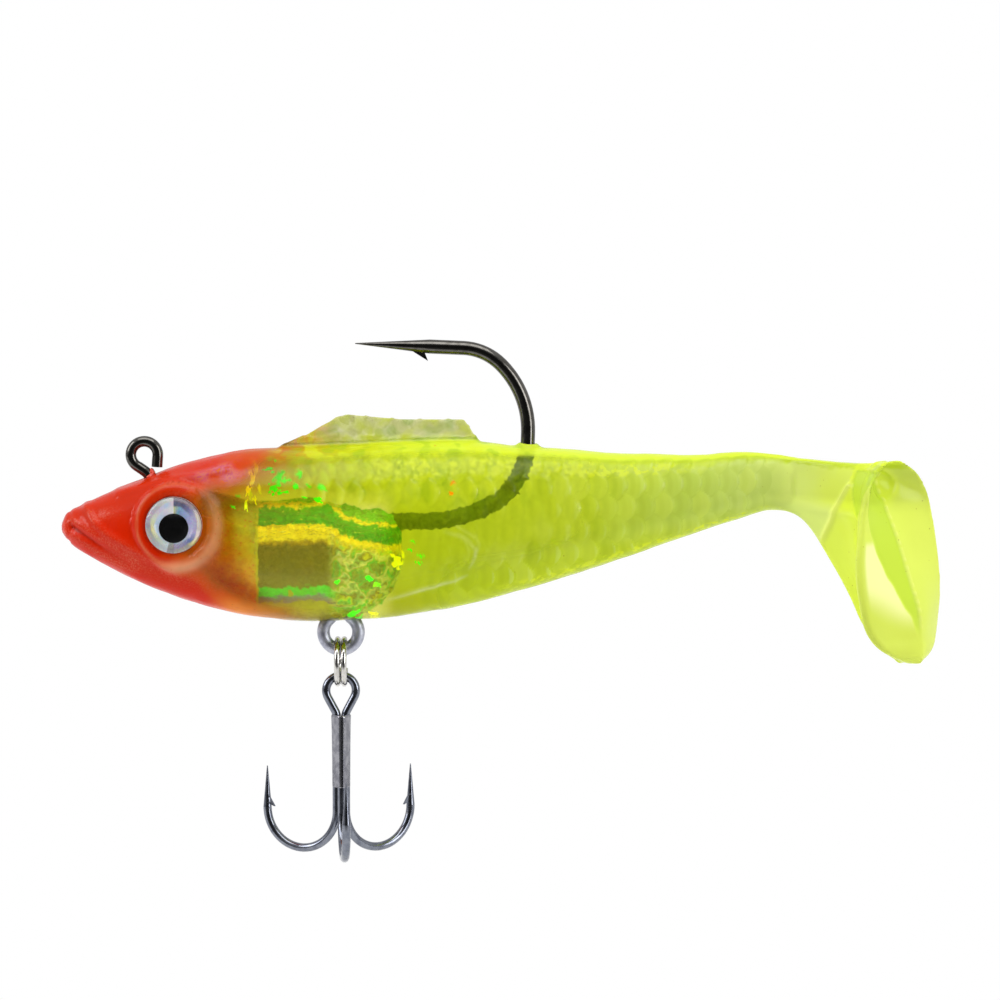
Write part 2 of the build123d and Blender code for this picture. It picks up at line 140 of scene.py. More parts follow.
FLAKES = [
    (12.9, -1.3, 0.9, 0.5, 0.2, 0.35), (13.6, -3.2, 1, 0.9, 0.5, 0.38), (14.6, -3.5, 0.7, 0.3, 0.2, 0.36),
    (15.8, -3, 0.6, 0.7, 0, 0.36), (18, -4.3, 1.1, 0.4, -0.6, 0.37), (16.6, -4, 0.5, 0.2, -0.3, 0.4),
    (11.3, -2.3, 0.35, 1, 0.15, 0.22), (11, -3.4, 0.4, 1.1, -0.2, 0.21), (10.7, -4.8, 0.35, 1, -0.1, 0.23),
    (11.6, -4.3, 0.3, 0.7, 0.3, 0.21), (11, -1.6, 0.3, 0.5, 0.5, 0.22),
    (9.4, -5, 0.4, 0.25, 0.6, 0.4), (9, -1.3, 1.6, 0.7, 0.2, 0.8), (7.6, -0.9, 0.9, 0.4, 0.3, 0.75),
    (25.9, -10.6, 1.2, 1.4, 0.5, 0.2), (21.4, -16, 1.3, 0.7, 0.3, 0.36), (23.6, -16, 0.9, 0.6, -0.4, 0.2),
    (31.4, -3.6, 0.45, 0.4, 0, 0.02), (27.4, -9.3, 0.5, 0.2, -1, 0.38), (28.2, -10.6, 0.6, 0.25, -1.1, 0.38),
    (24, -12.9, 0.6, 0.5, 0.2, 0.3), (23.2, -12.2, 0.8, 0.4, -0.7, 0.42), (19.8, -12.6, 0.5, 0.4, 0.4, 0.36),
]


# ---------------------------------------------------------------- small tools
def smooth(points):
    """A smooth function through (place, value) points that never overshoots them."""
    places, values = np.array(points, float).T
    step = np.diff(places)
    rise = np.diff(values) / step
    both = rise[:-1] * rise[1:]
    inner = np.where(both > 0, 2 * both / (rise[:-1] + rise[1:] + 1e-12 * np.sign(rise[1:])), 0)
    slope = np.concatenate([rise[:1], inner, rise[-1:]])

    def value(x):
        x = np.asarray(x, float)
        k = np.clip(np.searchsorted(places, x) - 1, 0, len(step) - 1)
        t = np.clip((x - places[k]) / step[k], 0, 1)
        ends = (1 + 2 * t) * (1 - t) ** 2 * values[k] + t * t * (3 - 2 * t) * values[k + 1]
        return ends + step[k] * (t * (1 - t) ** 2 * slope[k] + t * t * (t - 1) * slope[k + 1])

    return value


def step_up(x, low, high):
    """0 below low, 1 above high and smooth between them."""
    t = np.clip((x - low) / (high - low), 0, 1)
    return t * t * (3 - 2 * t)


def bump_at(x, centre, width):
    """A smooth bump of height 1 about a centre."""
    return np.exp(-(((x - centre) / width) ** 2))


def around(count):
    """Evenly spaced angles of one full turn."""
    return np.linspace(0, 2 * pi, count, endpoint=False)


def ring(x, y, z):
    """Points from three lists of which some may be single numbers."""
    return np.column_stack(np.broadcast_arrays(x, y, z))


def tube(rings):
    """Points and faces of a closed tube through rings of points, capped at both ends."""
    n = len(rings[0])
    last = (len(rings) - 1) * n
    faces = []
    for first in range(0, last, n):
        faces += [(first + i, first + (i + 1) % n, first + n + (i + 1) % n, first + n + i) for i in range(n)]
    faces += [tuple(range(n))[::-1], tuple(last + i for i in range(n))]
    return np.concatenate(rings), faces


def merged(shells):
    """Points and faces of several closed shells as one mesh."""
    points, faces, count = [], [], 0
    for more, more_faces in shells:
        points.append(more)
        faces += [tuple(i + count for i in face) for face in more_faces]
        count += len(more)
    return np.concatenate(points), faces


def linked(name, data):
    """A new object in the scene with that data."""
    made = bpy.data.objects.new(name, data)
    bpy.context.scene.collection.objects.link(made)
    return made


def mesh_object(name, points, faces):
    """A new object with that mesh, its normals facing out."""
    mesh = bpy.data.meshes.new(name)
    mesh.from_pydata(points.tolist(), [], faces)
    shape = bmesh.new()
    shape.from_mesh(mesh)
    bmesh.ops.recalc_face_normals(shape, faces=shape.faces)
    shape.to_mesh(mesh)
    shape.free()
    return linked(name, mesh)


def round_off(made):
    """Smooth shading on every face but the caps at a tube's ends."""
    for polygon in made.data.polygons:
        polygon.use_smooth = len(polygon.vertices) == 4


def vertex_values(made, key):
    found = np.empty(len(made.data.vertices) * 3)
    made.data.vertices.foreach_get(key, found)
    return found.reshape(-1, 3)


def put_points(made, points):
    made.data.vertices.foreach_set("co", points.ravel())
    made.data.update()


def store(made, name, values):
    """Keeps a number or a vector for each vertex, for the materials to read."""
    kind, key = ("FLOAT_VECTOR", "vector") if values.ndim == 2 else ("FLOAT", "value")
    attribute = made.data.attributes.new(name, kind, "POINT")
    attribute.data.foreach_set(key, values.astype(np.float32).ravel())


def apply_modifiers(made):
    """Replaces the object's mesh with the result of its modifiers."""
    bpy.context.view_layer.update()
    result = bpy.data.meshes.new_from_object(made.evaluated_get(bpy.context.evaluated_depsgraph_get()))
    made.modifiers.clear()
    made.data = result


def rough(points, scale, seed):
    """Smooth noise from -1 to 1 at each point."""
    shift = Vector((seed, 1.7 * seed, -seed))
    return np.array([noise.noise(Vector(p) * scale + shift) for p in points])


def along_path(s, z, path):
    """Distance of each point from a drawn line, and how far along the line its nearest point is."""
    best = np.full(len(s), 1e9)
    share = np.zeros(len(s))
    for k, ((s0, z0), (s1, z1)) in enumerate(zip(path, path[1:])):
        ds, dz = s1 - s0, z1 - z0
        t = np.clip(((s - s0) * ds + (z - z0) * dz) / (ds * ds + dz * dz), 0, 1)
        d = np.hypot(s - s0 - t * ds, z - z0 - t * dz)
        share = np.where(d < best, (k + t) / (len(path) - 1), share)
        best = np.minimum(best, d)
    return best, share


def lumps(x, y, z):
    """Smooth noise from -1 to 1 at one place."""
    return noise.noise(Vector((x, y, z)))


# ---------------------------------------------------------------- soft skin
top_of, bottom_of, half_of = smooth(TOP_LINE), smooth(BOTTOM_LINE), smooth(HALF_WIDTH)
front_of, rim_of, web_top = smooth(WEB_FRONT), smooth(RIM), smooth(WEB_TOP)


def body_rings():
    turn = around(96)
    side = np.sign(np.cos(turn)) * np.abs(np.cos(turn)) ** (2 / SECTION_POWER)
    rise = np.sign(np.sin(turn)) * np.abs(np.sin(turn)) ** (2 / SECTION_POWER)
    rings = []
    for s in np.linspace(TOP_LINE[0][0], TOP_LINE[-1][0], 260):
        middle, tall = (top_of(s) + bottom_of(s)) / 2, (top_of(s) - bottom_of(s)) / 2
        rings.append(ring(s, half_of(s) * side, middle + tall * rise))
    return rings


def tail_rings():
    """Level slices of the tail: the web's rounded front, its flare, the rim and the rear face."""
    wide, keel = smooth(RIM_HALF), smooth(KEEL_DEPTH)
    root, far = np.linspace(0, 1, 8), np.linspace(0.05, 1, 22)
    thick, back = np.linspace(0.1, 0.9, 6), np.linspace(0, 1, 20)
    rings = []
    for z in np.linspace(0, TAIL_FOOT, 90):
        u0, u1, w, depth = front_of(z), rim_of(z), wide(z), keel(z)
        web = min(WEB_HALF, w)
        nose = np.column_stack([u0 + WEB_NOSE * root, web * np.sin(root * pi / 2)])
        flare = np.column_stack([u0 + WEB_NOSE + (u1 - u0 - WEB_NOSE) * far, web + (w - web) * far ** 3.2])
        edge = np.column_stack([u1 + RIM_THICK * thick, w + RIM_BULGE * np.sin(pi * thick)])
        face = np.column_stack([u1 + RIM_THICK + depth * (1 - (1 - back) ** 1.3), w * (1 - back)])
        side = np.concatenate([nose, flare, edge, face])
        loop = np.concatenate([side, side[-2:0:-1] * [1, -1]])
        drop = web_top(loop[:, 0]) * step_up(z, -3, 0)
        rings.append(ring(WRIST + loop[:, 0], loop[:, 1], z + drop))
    return rings


def fin_rings():
    """The blade, with a foot on both sides that flares into the back."""
    outline = np.array(FIN_LINE)
    s, z = outline.T
    back = top_of(s)
    foot = [(FIN_HALF + flare, rise) for flare, rise in FIN_FOOT]
    sides = [(-y, rise) for y, rise in foot] + foot[::-1]
    return [ring(s, y, np.minimum(z, back + rise)) for y, rise in sides]


def joined_skin():
    """One closed mesh round the body, the fin and the tail."""
    shells = [tube(rings) for rings in (body_rings(), tail_rings(), fin_rings())]
    skin = mesh_object("soft_skin", *merged(shells))
    remesh = skin.modifiers.new("join", "REMESH")
    remesh.mode = "VOXEL"
    remesh.voxel_size = VOXEL
    relax = skin.modifiers.new("relax", "SMOOTH")
    relax.iterations = 4
    relax.factor = 0.5
    apply_modifiers(skin)
    return skin


def trued(points):
    """Draws the flanks, away from fin, nose and tail, back onto their exact rounded section."""
    s, v, z = points.T
    middle, tall = (top_of(s) + bottom_of(s)) / 2, (top_of(s) - bottom_of(s)) / 2
    out = np.abs(v / half_of(s)) ** SECTION_POWER + np.abs((z - middle) / tall) ** SECTION_POWER
    out = out ** (1 / SECTION_POWER)
    off_fin = np.maximum(step_up(np.abs(v), 2.4, 3.6), step_up(-z, 1.5, 3))
    off_fin = np.maximum(off_fin, np.maximum(step_up(11 - s, 0, 2), step_up(s, 36.5, 38.5)))
    share = off_fin * step_up(s, -7.2, -5) * (1 - step_up(s, 59, 62)) * (np.abs(out - 1) < 0.25)
    scale = 1 + share * (1 / np.maximum(out, 0.5) - 1)
    return ring(s, v * scale, middle + (z - middle) * scale)


# Each relief function below gives heights in millimetres and, by name, marks that the material reads.
def scale_relief(s, z, level, flank, slow):
    """Overlapping scales on the clear flank, each higher towards its free rear edge and with its own tone."""
    high, tone = np.zeros(len(s)), np.full(len(s), 0.5)
    scale_tones = rng.random(4096)
    for row in range(-9, 3):
        dz = z - row * SCALE_ROW - 0.03 * s
        place = (s - (row % 2) * SCALE_PITCH / 2 + 0.42 * dz * dz) / SCALE_PITCH
        phase = place - np.floor(place)
        ramp = np.where(phase < SCALE_CREST, (phase / SCALE_CREST) ** 1.6, (1 - phase) / (1 - SCALE_CREST))
        here = ramp * np.clip(1 - (dz / 1.75) ** 2, 0, 1)
        which = (np.floor(place).astype(int) * 37 + row * 101) % len(scale_tones)
        tone = np.where(here > high, scale_tones[which], tone)
        high = np.maximum(high, here)
    clear_of_foil = np.maximum(step_up(s, 26, 33), step_up(z, -6, -4.6) * step_up(s, 12, 19))
    scaly = flank * clear_of_foil * (1 - step_up(s, 61, 66)) * (1 - step_up(np.abs(level), 0.78, 0.98))
    scaly = scaly * (0.8 + 0.5 * slow)
    return 0.15 * scaly * high, {"scales": high * scaly, "tone": (tone - 0.5) * np.clip(scaly, 0, 1)}


def face_relief(s, z, level, flank, quick):
    """Mouth, cheek ridge, brow and nose, painted highlights on the head's facets, lips, cheek, jaw and neck,
    and an iridescent film on the neck.
    """
    face = flank * (s < 6)
    mouth, along_mouth = along_path(s, z, MOUTH)
    slit = face * bump_at(mouth, 0, 0.26) * (1 - 0.7 * along_mouth)
    lips = face * bump_at(mouth, 0.75, 0.4)
    cheek, along_cheek = along_path(s, z, CHEEK)
    brow, _ = along_path(s, z, BROW)
    height = 0.14 * lips * (1 - along_mouth) - 0.26 * slit
    height += 0.30 * face * bump_at(cheek, 0, 0.45) * (1 - 0.5 * along_cheek)
    height += 0.22 * flank * bump_at(brow, 0, 0.4)
    height -= 0.12 * face * bump_at(s + 0.12 * (z + 7.2) ** 2, -7.45, 0.28)

    # Places of the head's painted highlights: the facet, the lips, the cheek ridge, the jaw's edge and the
    # neck.
    facet = bump_at(s, -4.1, 1.2) * bump_at(z, -5.9 + 0.35 * (s + 4.1), 0.55)
    jaw = bump_at(level, -0.62, 0.16) * step_up(s, -6, -2) * (1 - step_up(s, 7, 12))
    neck = bump_at(level, 0.55, 0.22) * bump_at(s, 4.5, 2.6)
    head_highlight = np.clip(facet + 0.7 * lips + 0.5 * face * bump_at(cheek, 0, 0.4), 0, 1)
    head_highlight = np.clip(head_highlight + 0.55 * jaw, 0, 1)
    head_highlight = np.clip(head_highlight + 0.8 * neck, 0, 1) * flank
    film = bump_at(s, 8, 2.4) * bump_at(z, -1.75 + 0.1 * (s - 8), 0.95) * step_up(quick, -0.5, 0.3)
    return height, {"mouth": slit, "head_highlight": head_highlight, "sheen": film * flank}


def eye_ring_relief(s, z, flank):
    """Ring round the eye: a thin ridge in front, a broad one behind and below."""
    ring_s, ring_z = s - EYE.x - 0.35, z - EYE.z
    r = np.hypot(ring_s, ring_z)
    rear = step_up((ring_s - 0.7 * ring_z) / np.maximum(r, 0.1), -0.2, 0.8)
    ridge = flank * bump_at(r, 4.25, 0.16 + 0.42 * rear)
    line = flank * bump_at(r, 4.1, 0.12) * (1 - rear)
    return ridge * (0.16 + 0.22 * rear), {"ring": ridge * rear, "ring_line": line}


def crease_relief(s, z, flank, slow, quick):
    """Creases over the foil that show as pale lines."""
    creases = np.zeros(len(s))
    for path in CREASES:
        line, share = along_path(s + 0.35 * quick, z + 0.35 * slow, path)
        creases = np.maximum(creases, bump_at(line, 0, 0.14) * np.sin(pi * np.clip(share, 0.02, 0.98)) ** 0.5)
    return 0.05 * creases * flank, {"crease": creases}


def fin_relief(s, z, on_fin):
    """Rays, and a scalloped step down from the thick root to the thin blade."""
    ray = np.abs(((s - 0.95 * z) / 2.9) % 1 - 0.5)
    scallop = FIN_ROOT + 0.35 * np.abs(np.sin((s - 14) * 0.85))
    blade = on_fin * step_up(z, scallop - 0.12, scallop + 0.12)
    return 0.10 * on_fin * bump_at(ray, 0, 0.07) - 0.16 * blade, {"blade": blade}


def tail_relief(s, v, z, on_tail, quick):
    """The web's fold, the line beside the rim, the keel's beaded seam and the rear face's recessed band;
    marks for painted light: a brighter web, a highlight along the fold, a highlight patch on the rear face
    and shade in the band.
    """
    u = s - WRIST
    front, rim = front_of(z), rim_of(z)
    fold, along_fold = along_path(u, z, WEB_FOLD)
    inland = step_up(u - front, 0.2, 1.6)
    behind = step_up(u - front, 6, 8) * (z < -1)
    seam = behind * bump_at(v, 0, 0.16) * (0.5 + 0.5 * np.sin(z * 7.5) * (quick > -0.2))
    rear_face = behind * (u > rim - 3 * step_up(z, -8, -3))
    share = v / smooth(RIM_HALF)(z)
    crease = -0.62 + 0.62 * np.clip((-9 - z) / 9.5, -1, 1) + 0.04 * quick
    # A recessed band that carries painted shade.
    shaded_band = rear_face * step_up(share, crease - 0.03, crease + 0.03) * (1 - step_up(share, -0.06, -0.01))
    shaded_band = shaded_band * step_up(z, -18.5, -16.5)
    # A painted highlight on the near half of the rear face.
    highlight_patch = rear_face * step_up(share, -0.97, -0.90) * (1 - step_up(share, crease - 0.05, crease - 0.01))
    highlight_patch = highlight_patch * step_up(-z, 7.6, 8.4) * (1 - step_up(-z, 14.5, 17.5))
    aft_of_fold = u > np.interp(z, *np.array(WEB_FOLD[::-1]).T[::-1])
    height = 0.32 * bump_at(fold, 0, 0.32) * (1 - 0.35 * along_fold) * inland
    height += 0.14 * bump_at(u, rim - 0.9, 0.22) + 0.14 * seam - 0.16 * shaded_band
    return on_tail * height, {
        "fold": on_tail * bump_at(fold, 0, 0.42) * (1 - 0.3 * along_fold) * inland,
        "web": on_tail * (1 - step_up(u - rim, -1.2, -0.4)) * aft_of_fold,
        "seam": on_tail * seam, "shaded_band": on_tail * shaded_band, "highlight_patch": on_tail * highlight_patch,
    }


def relief(place):
    """How far each point of the skin stands out, and all the marks."""
    s, v, z = place.T
    top, bottom = top_of(s), bottom_of(s)
    level = np.clip((2 * z - top - bottom) / (top - bottom), -1.2, 1.2)
    on_tail = step_up(s - WRIST, -1, 2)
    on_fin = step_up(z - top_of(np.clip(s, -8, 60)), 0.05, 0.5) * (s > 12) * (s < 36)
    flank = (1 - on_fin) * (1 - on_tail)
    slow, quick = rough(place, 0.22, 3), rough(place, 0.7, 11)

    # Uneven casting, the mould line on back and belly, and the swelling where the hook leaves the back.
    height = 0.10 * slow + 0.04 * quick * flank + 0.05 * flank * bump_at(v, 0, 0.2)
    height += 0.4 * flank * (z > -2) * bump_at(np.hypot(s - HOOK_EXIT, v), 0.8, 0.4)
    marks = {"level": level, "on_tail": on_tail, "fin": on_fin}
    for more_height, more_marks in (
        scale_relief(s, z, level, flank, slow),
        face_relief(s, z, level, flank, quick),
        eye_ring_relief(s, z, flank),
        crease_relief(s, z, flank, slow, quick),
        fin_relief(s, z, on_fin),
        tail_relief(s, v, z, on_tail, quick),
    ):
        height += more_height
        marks.update(more_marks)
    return height, marks


def open_sockets(place, bare):
    """Raises a low boss round each eye and sinks the socket that holds the disc and its lens."""
    x, y, z = place.T
    ds, dz = x - EYE.x, z - EYE.z
    r = np.hypot(ds, dz)
    reach = np.abs(y)
    on_flank = np.abs(bare[:, 1]) > 3
    near = on_flank & (r < 4.3)
    boss = EYE.y + 0.42 - 0.5 * np.clip((r - 3.4) / 0.9, 0, 1) ** 2
    reach = np.where(near, np.maximum(reach, boss), reach)
    reach = np.where(near & (r < 3.5), np.minimum(reach, EYE.y + 0.62), reach)
    inside = on_flank & (r < EYE_RADIUS)
    reach = np.where(inside, EYE.y - 0.02, reach)
    # The wall stands between a floor edge and a rim that are almost the same size.
    edge = on_flank & (np.abs(r - EYE_RADIUS) < 0.22)
    wall = np.where(inside, EYE_RADIUS + 0.005, EYE_RADIUS + 0.03)
    scale = np.where(edge, wall / np.maximum(r, 0.1), 1)
    return ring(EYE.x + ds * scale, np.sign(y) * reach, EYE.z + dz * scale)


def bend_tail(points):
    """Takes straight points to the relaxed tail's curl to the left flank."""
    s = np.linspace(-20, 120, 7001)
    heading = TAIL_TURN * step_up(s, WRIST - TURN_HALF, WRIST + TURN_HALF)
    ds = s[1] - s[0]
    x = np.cumsum(np.cos(heading)) * ds
    y = np.cumsum(np.sin(heading)) * ds
    start = np.searchsorted(s, 0)
    x, y = x - x[start], y - y[start]
    along, across = points[:, 0], points[:, 1]
    turned = np.interp(along, s, heading)
    x, y = np.interp(along, s, x), np.interp(along, s, y)
    return ring(x - across * np.sin(turned), y + across * np.cos(turned), points[:, 2])


def make_skin():
    skin = joined_skin()
    straight = trued(vertex_values(skin, "co"))
    put_points(skin, straight)
    normal = vertex_values(skin, "normal")
    height, marks = relief(straight)
    raised = open_sockets(straight + normal * height[:, None], straight)
    put_points(skin, bend_tail(raised) * MM)
    store(skin, "place", straight)
    for name, values in marks.items():
        store(skin, name, values)
    for polygon in skin.data.polygons:
        polygon.use_smooth = True
    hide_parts("body_front", "tail")
    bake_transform(skin)
    return skin


# ---------------------------------------------------------------- what shows through the skin
def tube_piece(name, rings, body="lure"):
    """A smooth closed piece through rings of points in millimetres."""
    points, faces = tube(rings)
    made = mesh_object(name, points * MM, faces)
    round_off(made)
    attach(made, body)
    return made


def foil_rings(rear):
    """Faceted sections along the wrap, drawn in and rounded off towards its rear end."""
    upper, lower = smooth(FOIL_TOP), smooth(FOIL_BOTTOM)
    turn = around(200)
    facets = [radians(a) for a in (90, 58, 8, -34, -72, -110, -146, 172, 122)]
    reach = 1 / np.max([np.cos(turn - a) for a in facets], axis=0)
    rings = []
    for s in np.linspace(5, rear, 260):
        tall, middle = (upper(s) - lower(s)) / 2, (upper(s) + lower(s)) / 2
        half = FOIL_HALF * (1 - 0.45 * step_up(s, rear - 4.5, rear)) * (1 - 0.12 * step_up(-s, -12, -5))
        shut = max(0.05, 1 - max(0, (s - rear + 2.1) / 2.1) ** 2) ** 0.5
        tall, half = tall * (0.35 + 0.65 * shut), half * shut
        rings.append(ring(s, half * np.cos(turn) * reach, middle + tall * np.sin(turn) * reach))
    return rings


def make_foil():
    """Crinkled foil round the lead: a flat panel under a crumpled fold, loose and creased at the rear."""
    low, high = (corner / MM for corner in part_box("foil_wrap"))
    rear = high.x + 0.5
    points, faces = tube(foil_rings(rear))
    foil = mesh_object("crinkled_foil", points, faces)
    normal = vertex_values(foil, "normal")
    s, _, z = points.T
    fold, _ = along_path(s, z, FOLD)
    above = z - np.interp(s, *np.array(FOLD).T)
    loose = np.maximum(step_up(s, 18.5, 21), bump_at(above, 0, 1.1))
    crumples = ((1, 0.55, 5), (0.5, 1.3, 9), (0.25, 3.1, 2))
    crease = sum(share * np.abs(rough(points, scale, seed)) for share, scale, seed in crumples)
    height = 0.55 * bump_at(fold, 0, 0.55) + (0.10 + 0.75 * loose) * (0.35 - crease)
    height = np.maximum(height + 0.15 * bump_at(above, 2.4, 0.35), -0.12)
    height = height * step_up(rear - s, 0, 1) * step_up(s, low.x - 0.8, low.x + 0.6)
    put_points(foil, (points + normal * height[:, None]) * MM)
    store(foil, "place", points)
    store(foil, "above", above)
    round_off(foil)
    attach(foil, "lure")
    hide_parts("foil_wrap")
    return foil


def hook_line(start, end):
    """Points along the jig hook's buried shank, from one distance to another along its wire."""
    first, second = radians(30), radians(58)
    runs = [(23.75, 0, 0), (14 * first, 0, first), (7 * second, first, second), (3, first + second, 0)]
    x, z = 5, -6.8
    line, gone, step = [], 0, 0.05
    for length, heading, turn in runs:
        for k in range(int(length / step)):
            now = heading + turn * k * step / length
            if start <= gone <= end:
                line.append((x, z, now))
            x, z, gone = x + step * cos(now), z + step * sin(now), gone + step
    return line[::3]


def make_shank_film():
    """Plastic that clings to the buried shank as a rough dark sleeve."""
    turn = around(40)
    rings = []
    for k, (x, z, heading) in enumerate(hook_line(19.2, 37.6)):
        ends = min(1, k / 6)
        lump = 0.79 + 0.20 * lumps(0.3 * k, 1, 4) + 0.20 * lumps(0.9 * k, 5, 2)
        radius = lump + 0.22 * np.array([lumps(0.6 * k, 2.6 * cos(a), 2.6 * sin(a)) for a in turn])
        radius = np.maximum(radius, SLEEVE_LEAST)
        out = radius * np.cos(turn) * ends
        rings.append(ring(x - out * sin(heading), radius * np.sin(turn) * ends, z + out * cos(heading)))
    film = tube_piece("shank_sleeve", rings)
    return film


def make_braze():
    """Braze between the treble's three shanks: wide under the eye, flush with the wires at its foot."""
    stations = [(26.78, 0.30), (26.80, 0.47), (26.95, 0.55), (27.4, 0.535), (29, 0.50), (31.5, 0.475),
                (33.6, 0.462), (34.3, 0.448), (34.33, 0.30)]
    skin_of = smooth(stations)
    turn = around(90)
    away = np.column_stack([np.cos(turn), np.sin(turn)])
    angles = [radians(TREBLE_TURN + a) for a in (30, 150, 270)]
    shanks = TREBLE_SHANK_RADIUS * np.array([(cos(a), sin(a)) for a in angles])
    nearest = shanks[np.argmax(away @ shanks.T, axis=1)]
    rings = []
    for depth in np.concatenate([[26.78, 26.80], np.linspace(26.9, 34.2, 60), [34.3, 34.33]]):
        x, y = (nearest + skin_of(depth) * away).T
        rings.append(ring(TREBLE_X + x, y, -depth))
    braze = tube_piece("braze_sleeve", rings, "treble")
    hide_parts("treble_braze")
    return braze


def make_smudge():
    """Paint run up over the foot of the line tie."""
    turn = around(36)
    rings = []
    for t in np.linspace(0, 1, 30):
        wide = np.array([0.16 * lumps(2 * cos(a), 2 * sin(a), 5 * t) for a in turn])
        radius = (0.72 - 0.14 * t + wide) * sin(pi * t) ** 0.45
        x, y = 0.62 + 0.1 * t + 0.75 * radius * np.cos(turn), radius * np.sin(turn)
        rings.append(ring(x, y, -3.1 + 1.75 * t))
    smudge = tube_piece("paint_smudge", rings)
    return smudge


def scrap_outline(s, z, wide, tall, turn):
    """A ragged outline about a place on the flank."""
    outline = []
    for a in around(9):
        r = rng.uniform(0.35, 1)
        out, high = r * wide * cos(a), r * tall * sin(a)
        outline.append((s + out * cos(turn) - high * sin(turn), z + out * sin(turn) + high * cos(turn)))
    return outline


def scrap_plate(s, z, side, outline):
    """A thin bent plate of that outline, a little way under one flank's surface."""
    level = (2 * z - top_of(s) - bottom_of(s)) / (top_of(s) - bottom_of(s))
    depth = side * (half_of(s) * max(0, 1 - level ** 2) ** 0.5 - FLAKE_DEPTH)
    x, height = np.array(outline).T
    y = depth - side * (0.25 * np.abs(x - s) - 0.15 * (height - z))
    return tube([ring(x, y + lift, height) for lift in (-FLAKE_HALF, FLAKE_HALF)])


def make_flakes():
    """Loose scraps of foil in the plastic, each a cluster of small bent plates on both flanks."""
    plates, hues = [], []
    for s, z, wide, tall, turn, hue in FLAKES:
        bits = [(0, 0, 0.62)]
        for _ in range(5):
            bits.append((rng.uniform(-0.6, 0.6), rng.uniform(-0.6, 0.6), rng.uniform(0.16, 0.36)))
        for side in (-1, 1):
            for across, up, size in bits:
                bit_s, bit_z = s + across * wide, z + up * tall
                outline = scrap_outline(bit_s, bit_z, size * wide, size * tall, turn)
                plates.append(scrap_plate(bit_s, bit_z, side, outline))
                hues += [hue] * len(plates[-1][0])
    points, faces = merged(plates)
    flakes = mesh_object("foil_flakes", points * MM, faces)
    store(flakes, "hue", np.array(hues))
    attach(flakes, "lure")
    return flakes


def lathe(name, profile, side, drop=0):
    """A round piece of an eye, turned from a profile of radius and height above the socket's floor."""
    out, up = np.cos(around(120)), np.sin(around(120))
    rings = [ring(EYE.x + r * out, side * (EYE.y + h), EYE.z + drop + r * up) for r, h in profile]
    return tube_piece(name, rings)


def eye_profiles():
    """Profiles of the printed disc with its fine grooves, the pupil and the clear dome."""
    disc = EYE_RADIUS - 0.06
    iris = [(0.02, 0.02), (disc, 0.02), (disc + 0.04, 0.06), (disc + 0.04, 0.15)]
    iris += [(r, DISC_TOP - 0.012 * (k % 2)) for k, r in enumerate(np.linspace(disc, 0.02, 60))]
    r = PUPIL_RADIUS
    foot = [(r - 0.06 + 0.06 * sin(a), 0.20 + 0.05 * (1 - cos(a))) for a in np.linspace(0, pi / 2, 5)]
    edge = [(r - 0.05 * (1 - cos(a)), 0.25 + 0.02 * sin(a)) for a in np.linspace(0.2, pi / 2, 5)]
    pupil = [(0.02, 0.185), *foot, *edge, (0.7, 0.272), (0.02, 0.275)]
    rim, rim_top = EYE_RADIUS - 0.03, LENS_FLOOR + LENS_RIM
    swell = [(rim * sin(a), rim_top + LENS_DOME * cos(a)) for a in np.linspace(pi / 2, 0.01, 24)]
    dome = [(0.02, LENS_FLOOR), (rim - 0.05, LENS_FLOOR), (rim, LENS_FLOOR + 0.05), *swell]
    return iris, pupil, dome


def make_eyes():
    for flank, side in (("left", -1), ("right", 1)):
        iris, pupil, dome = eye_profiles()
        made = (
            (lathe(f"iris_{flank}", iris, side), "eye_disc", "eye_print"),
            (lathe(f"pupil_{flank}", pupil, side, PUPIL_DROP), "eye_pupil", "pupil"),
            (lathe(f"dome_{flank}", dome, side), "eye_lens", "eye_dome"),
        )
        for piece, node, slot in made:
            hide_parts(f"{node}_{flank}")
        yield [piece for piece, _, _ in made]


# ---------------------------------------------------------------- materials
def tint(*screen):
    """A colour given as it looks on a screen, 0 to 255, as the shader wants it."""
    return tuple(((c / 255 + 0.055) / 1.055) ** 2.4 if c > 10 else c / 255 / 12.92 for c in screen) + (1,)


